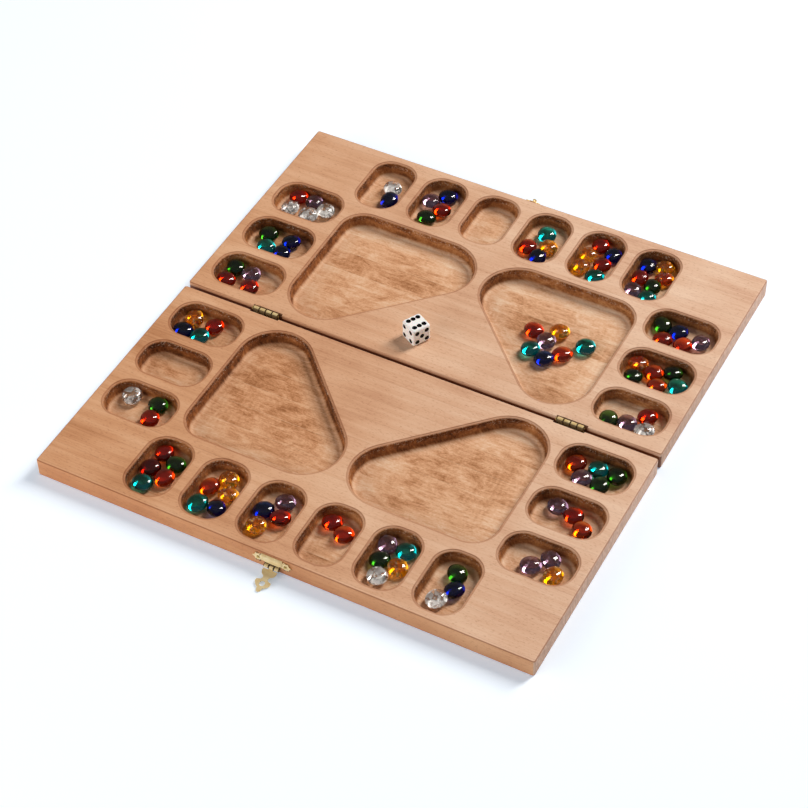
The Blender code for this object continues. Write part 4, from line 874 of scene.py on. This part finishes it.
def make_die():
    """Six faces turned into a cube and merged, with six pips up and opposite faces adding up to seven."""
    low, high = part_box("die")
    middle = (low + high) / 2 + DIE_SHIFT
    middle.z = low.z + DIE_SIZE / 2
    turns = {
        6: Matrix.Identity(3), 1: Matrix.Rotation(math.pi, 3, "X"),
        5: Matrix.Rotation(math.pi / 2, 3, "Y"), 2: Matrix.Rotation(-math.pi / 2, 3, "Y"),
        4: Matrix.Rotation(math.pi / 2, 3, "X"), 3: Matrix.Rotation(-math.pi / 2, 3, "X"),
    }
    whole = np.array(Matrix.Rotation(DIE_TURN, 3, "Z"))
    points, faces, aways = [], [], []
    for k, (count, turn) in enumerate(turns.items()):
        shape, quads, away = die_face(count)
        points.append(shape @ (whole @ np.array(turn)).T + middle)
        faces.append(quads + k * len(shape))
        aways.append(away)
    mesh = bpy.data.meshes.new("die_cast")
    mesh.from_pydata(np.vstack(points).tolist(), [], np.vstack(faces).tolist())
    give_attribute(mesh, "pip_distance", np.concatenate(aways))
    work = bmesh.new()
    work.from_mesh(mesh)
    bmesh.ops.remove_doubles(work, verts=work.verts, dist=0.01 * MM)
    work.to_mesh(mesh)
    work.free()
    mesh.shade_smooth()
    dress_piece("die", "cast", mesh, (ACRYLIC,), "die")


# Fittings

def finish_fittings():
    """Gives the fittings, which keep their CAD shape, their metal."""
    metals = {"hinge": HINGE_BRASS, "hasp": HASP_BRASS, "catch": BRASS}
    for name, thing in frame["nodes"].items():
        family = name.split("_")[0]
        if family in metals:
            fastener = any(word in name for word in ("screw", "nail", "pin"))
            for slot in thing.material_slots:
                slot.link = "OBJECT"
                slot.material = BRASSED if fastener else metals[family]


# Room, light and camera

# The camera stands where the board's corners in the photograph put it
VIEW_TARGET = Vector((4.48 * MM, FOLD.y - 27.67 * MM, 0.0))
VIEW_DISTANCE = 1898.3 * MM
VIEW_AZIMUTH = math.radians(-61.229)
VIEW_ELEVATION = math.radians(46.314)
VIEW_ROLL = math.radians(-1.185)
SENSOR = 36.0
FRAME_PIXELS = 808
FOCAL_PIXELS = 2289.26
FOCAL_LENGTH = FOCAL_PIXELS / FRAME_PIXELS * SENSOR

# Soft boxes, in degrees, metres and watts
KEY = {"azimuth": 60.0, "elevation": 44.5, "distance": 3.0, "size": (0.75, 1.80), "power": 93.0,
       "colour": "FFF9F2", "mirrored": True}
FILL = {"azimuth": -125.0, "elevation": 23.0, "distance": 2.0, "size": (2.4, 1.2), "power": 29.0,
        "colour": "FFFCF8", "mirrored": False}
FLOOR_SIZE = 60.0

# Sky: its level overhead, what it gains towards the horizon and from which height down, and the box overhead
SKY_LEVEL = 0.08
HORIZON_GAIN = 0.30
HORIZON_HEIGHT = 0.45
BOX_EDGE = (0.70, 0.92)
BOX_LEVEL = (0.04, 0.10)


def direction(azimuth, elevation):
    """The unit vector from the board towards an azimuth and an elevation."""
    return Vector((math.cos(elevation) * math.cos(azimuth), math.cos(elevation) * math.sin(azimuth),
                   math.sin(elevation)))


def make_floor():
    """One square of paper under the board."""
    half = FLOOR_SIZE / 2
    corners = [(-half, -half, 0), (half, -half, 0), (half, half, 0), (-half, half, 0)]
    mesh = bpy.data.meshes.new("floor")
    mesh.from_pydata(corners, [], [(0, 1, 2, 3)])
    mesh.materials.append(make_floor_paper())
    link_object("floor", mesh)


def make_lamp(name, plan):
    """A soft box aimed at the middle of the board."""
    lamp = bpy.data.lights.new(name, "AREA")
    lamp.shape = "RECTANGLE"
    lamp.size, lamp.size_y = plan["size"]
    lamp.energy = plan["power"]
    lamp.color = linear(plan["colour"])[:3]
    box = link_object(name, lamp)
    way = direction(math.radians(plan["azimuth"]), math.radians(plan["elevation"]))
    box.location = way * plan["distance"]
    box.rotation_euler = (-box.location).to_track_quat("-Z", "Y").to_euler()
    box.visible_glossy = plan["mirrored"]


def make_world():
    """A dim studio with a soft box overhead for metal and glass to mirror, and white where the camera sees
    past the floor."""
    world = bpy.data.worlds.new("studio")
    bpy.context.scene.world = world
    world.use_nodes = True
    tree = world.node_tree
    tree.nodes.clear()
    way = add_node(tree, "TexCoord").outputs["Generated"]
    height = add_node(tree, "SeparateXYZ", {0: way}).outputs["Z"]
    level = add_node(tree, "MapRange", {0: height, 1: HORIZON_HEIGHT, 2: 0.0}, **SMOOTH)
    glossy = add_node(tree, "LightPath").outputs["Is Glossy Ray"]
    overhead = add_node(tree, "MapRange", {
        0: height, 1: BOX_EDGE[0], 2: BOX_EDGE[1], 3: BOX_LEVEL[0], 4: BOX_LEVEL[1]}, **SMOOTH)
    mirrored = add_node(tree, "Math", {0: glossy, 1: overhead}, operation="MULTIPLY")
    strength = weigh(tree, (level, HORIZON_GAIN), (mirrored, 1.0), SKY_LEVEL)
    soft = add_node(tree, "Background", {"Color": linear("FFFBF6"), "Strength": strength})
    white = add_node(tree, "Background", {"Color": (1.0, 1.0, 1.0, 1.0), "Strength": 1.0})
    camera = add_node(tree, "LightPath").outputs["Is Camera Ray"]
    both = add_node(tree, "MixShader", {0: camera, 1: soft, 2: white})
    add_node(tree, "OutputWorld", {"Surface": both})


def make_camera():
    """The photograph's camera: its right, up and back ways are level ones rolled about the line of sight."""
    back = direction(VIEW_AZIMUTH, VIEW_ELEVATION)
    level = Vector((-math.sin(VIEW_AZIMUTH), math.cos(VIEW_AZIMUTH), 0))
    upright = back.cross(level)
    right = level * math.cos(VIEW_ROLL) + upright * math.sin(VIEW_ROLL)
    up = upright * math.cos(VIEW_ROLL) - level * math.sin(VIEW_ROLL)
    lens = bpy.data.cameras.new("camera")
    lens.sensor_width = SENSOR
    lens.lens = FOCAL_LENGTH
    camera = link_object("camera", lens)
    turn = Matrix((right, up, back)).transposed().to_4x4()
    camera.matrix_world = Matrix.Translation(VIEW_TARGET + back * VIEW_DISTANCE) @ turn
    bpy.context.scene.camera = camera


make_camera()
make_half("rear_half", "rear_board", 1)
make_half("front_half", "front_board", -1)
for stones_node, stone_colours in STONE_COLOURS.items():
    make_stones(stones_node, stone_colours)
make_die()
finish_fittings()
make_floor()
make_lamp("key", KEY)
make_lamp("fill", FILL)
make_world()
bpy.context.scene.view_settings.view_transform = "Standard"
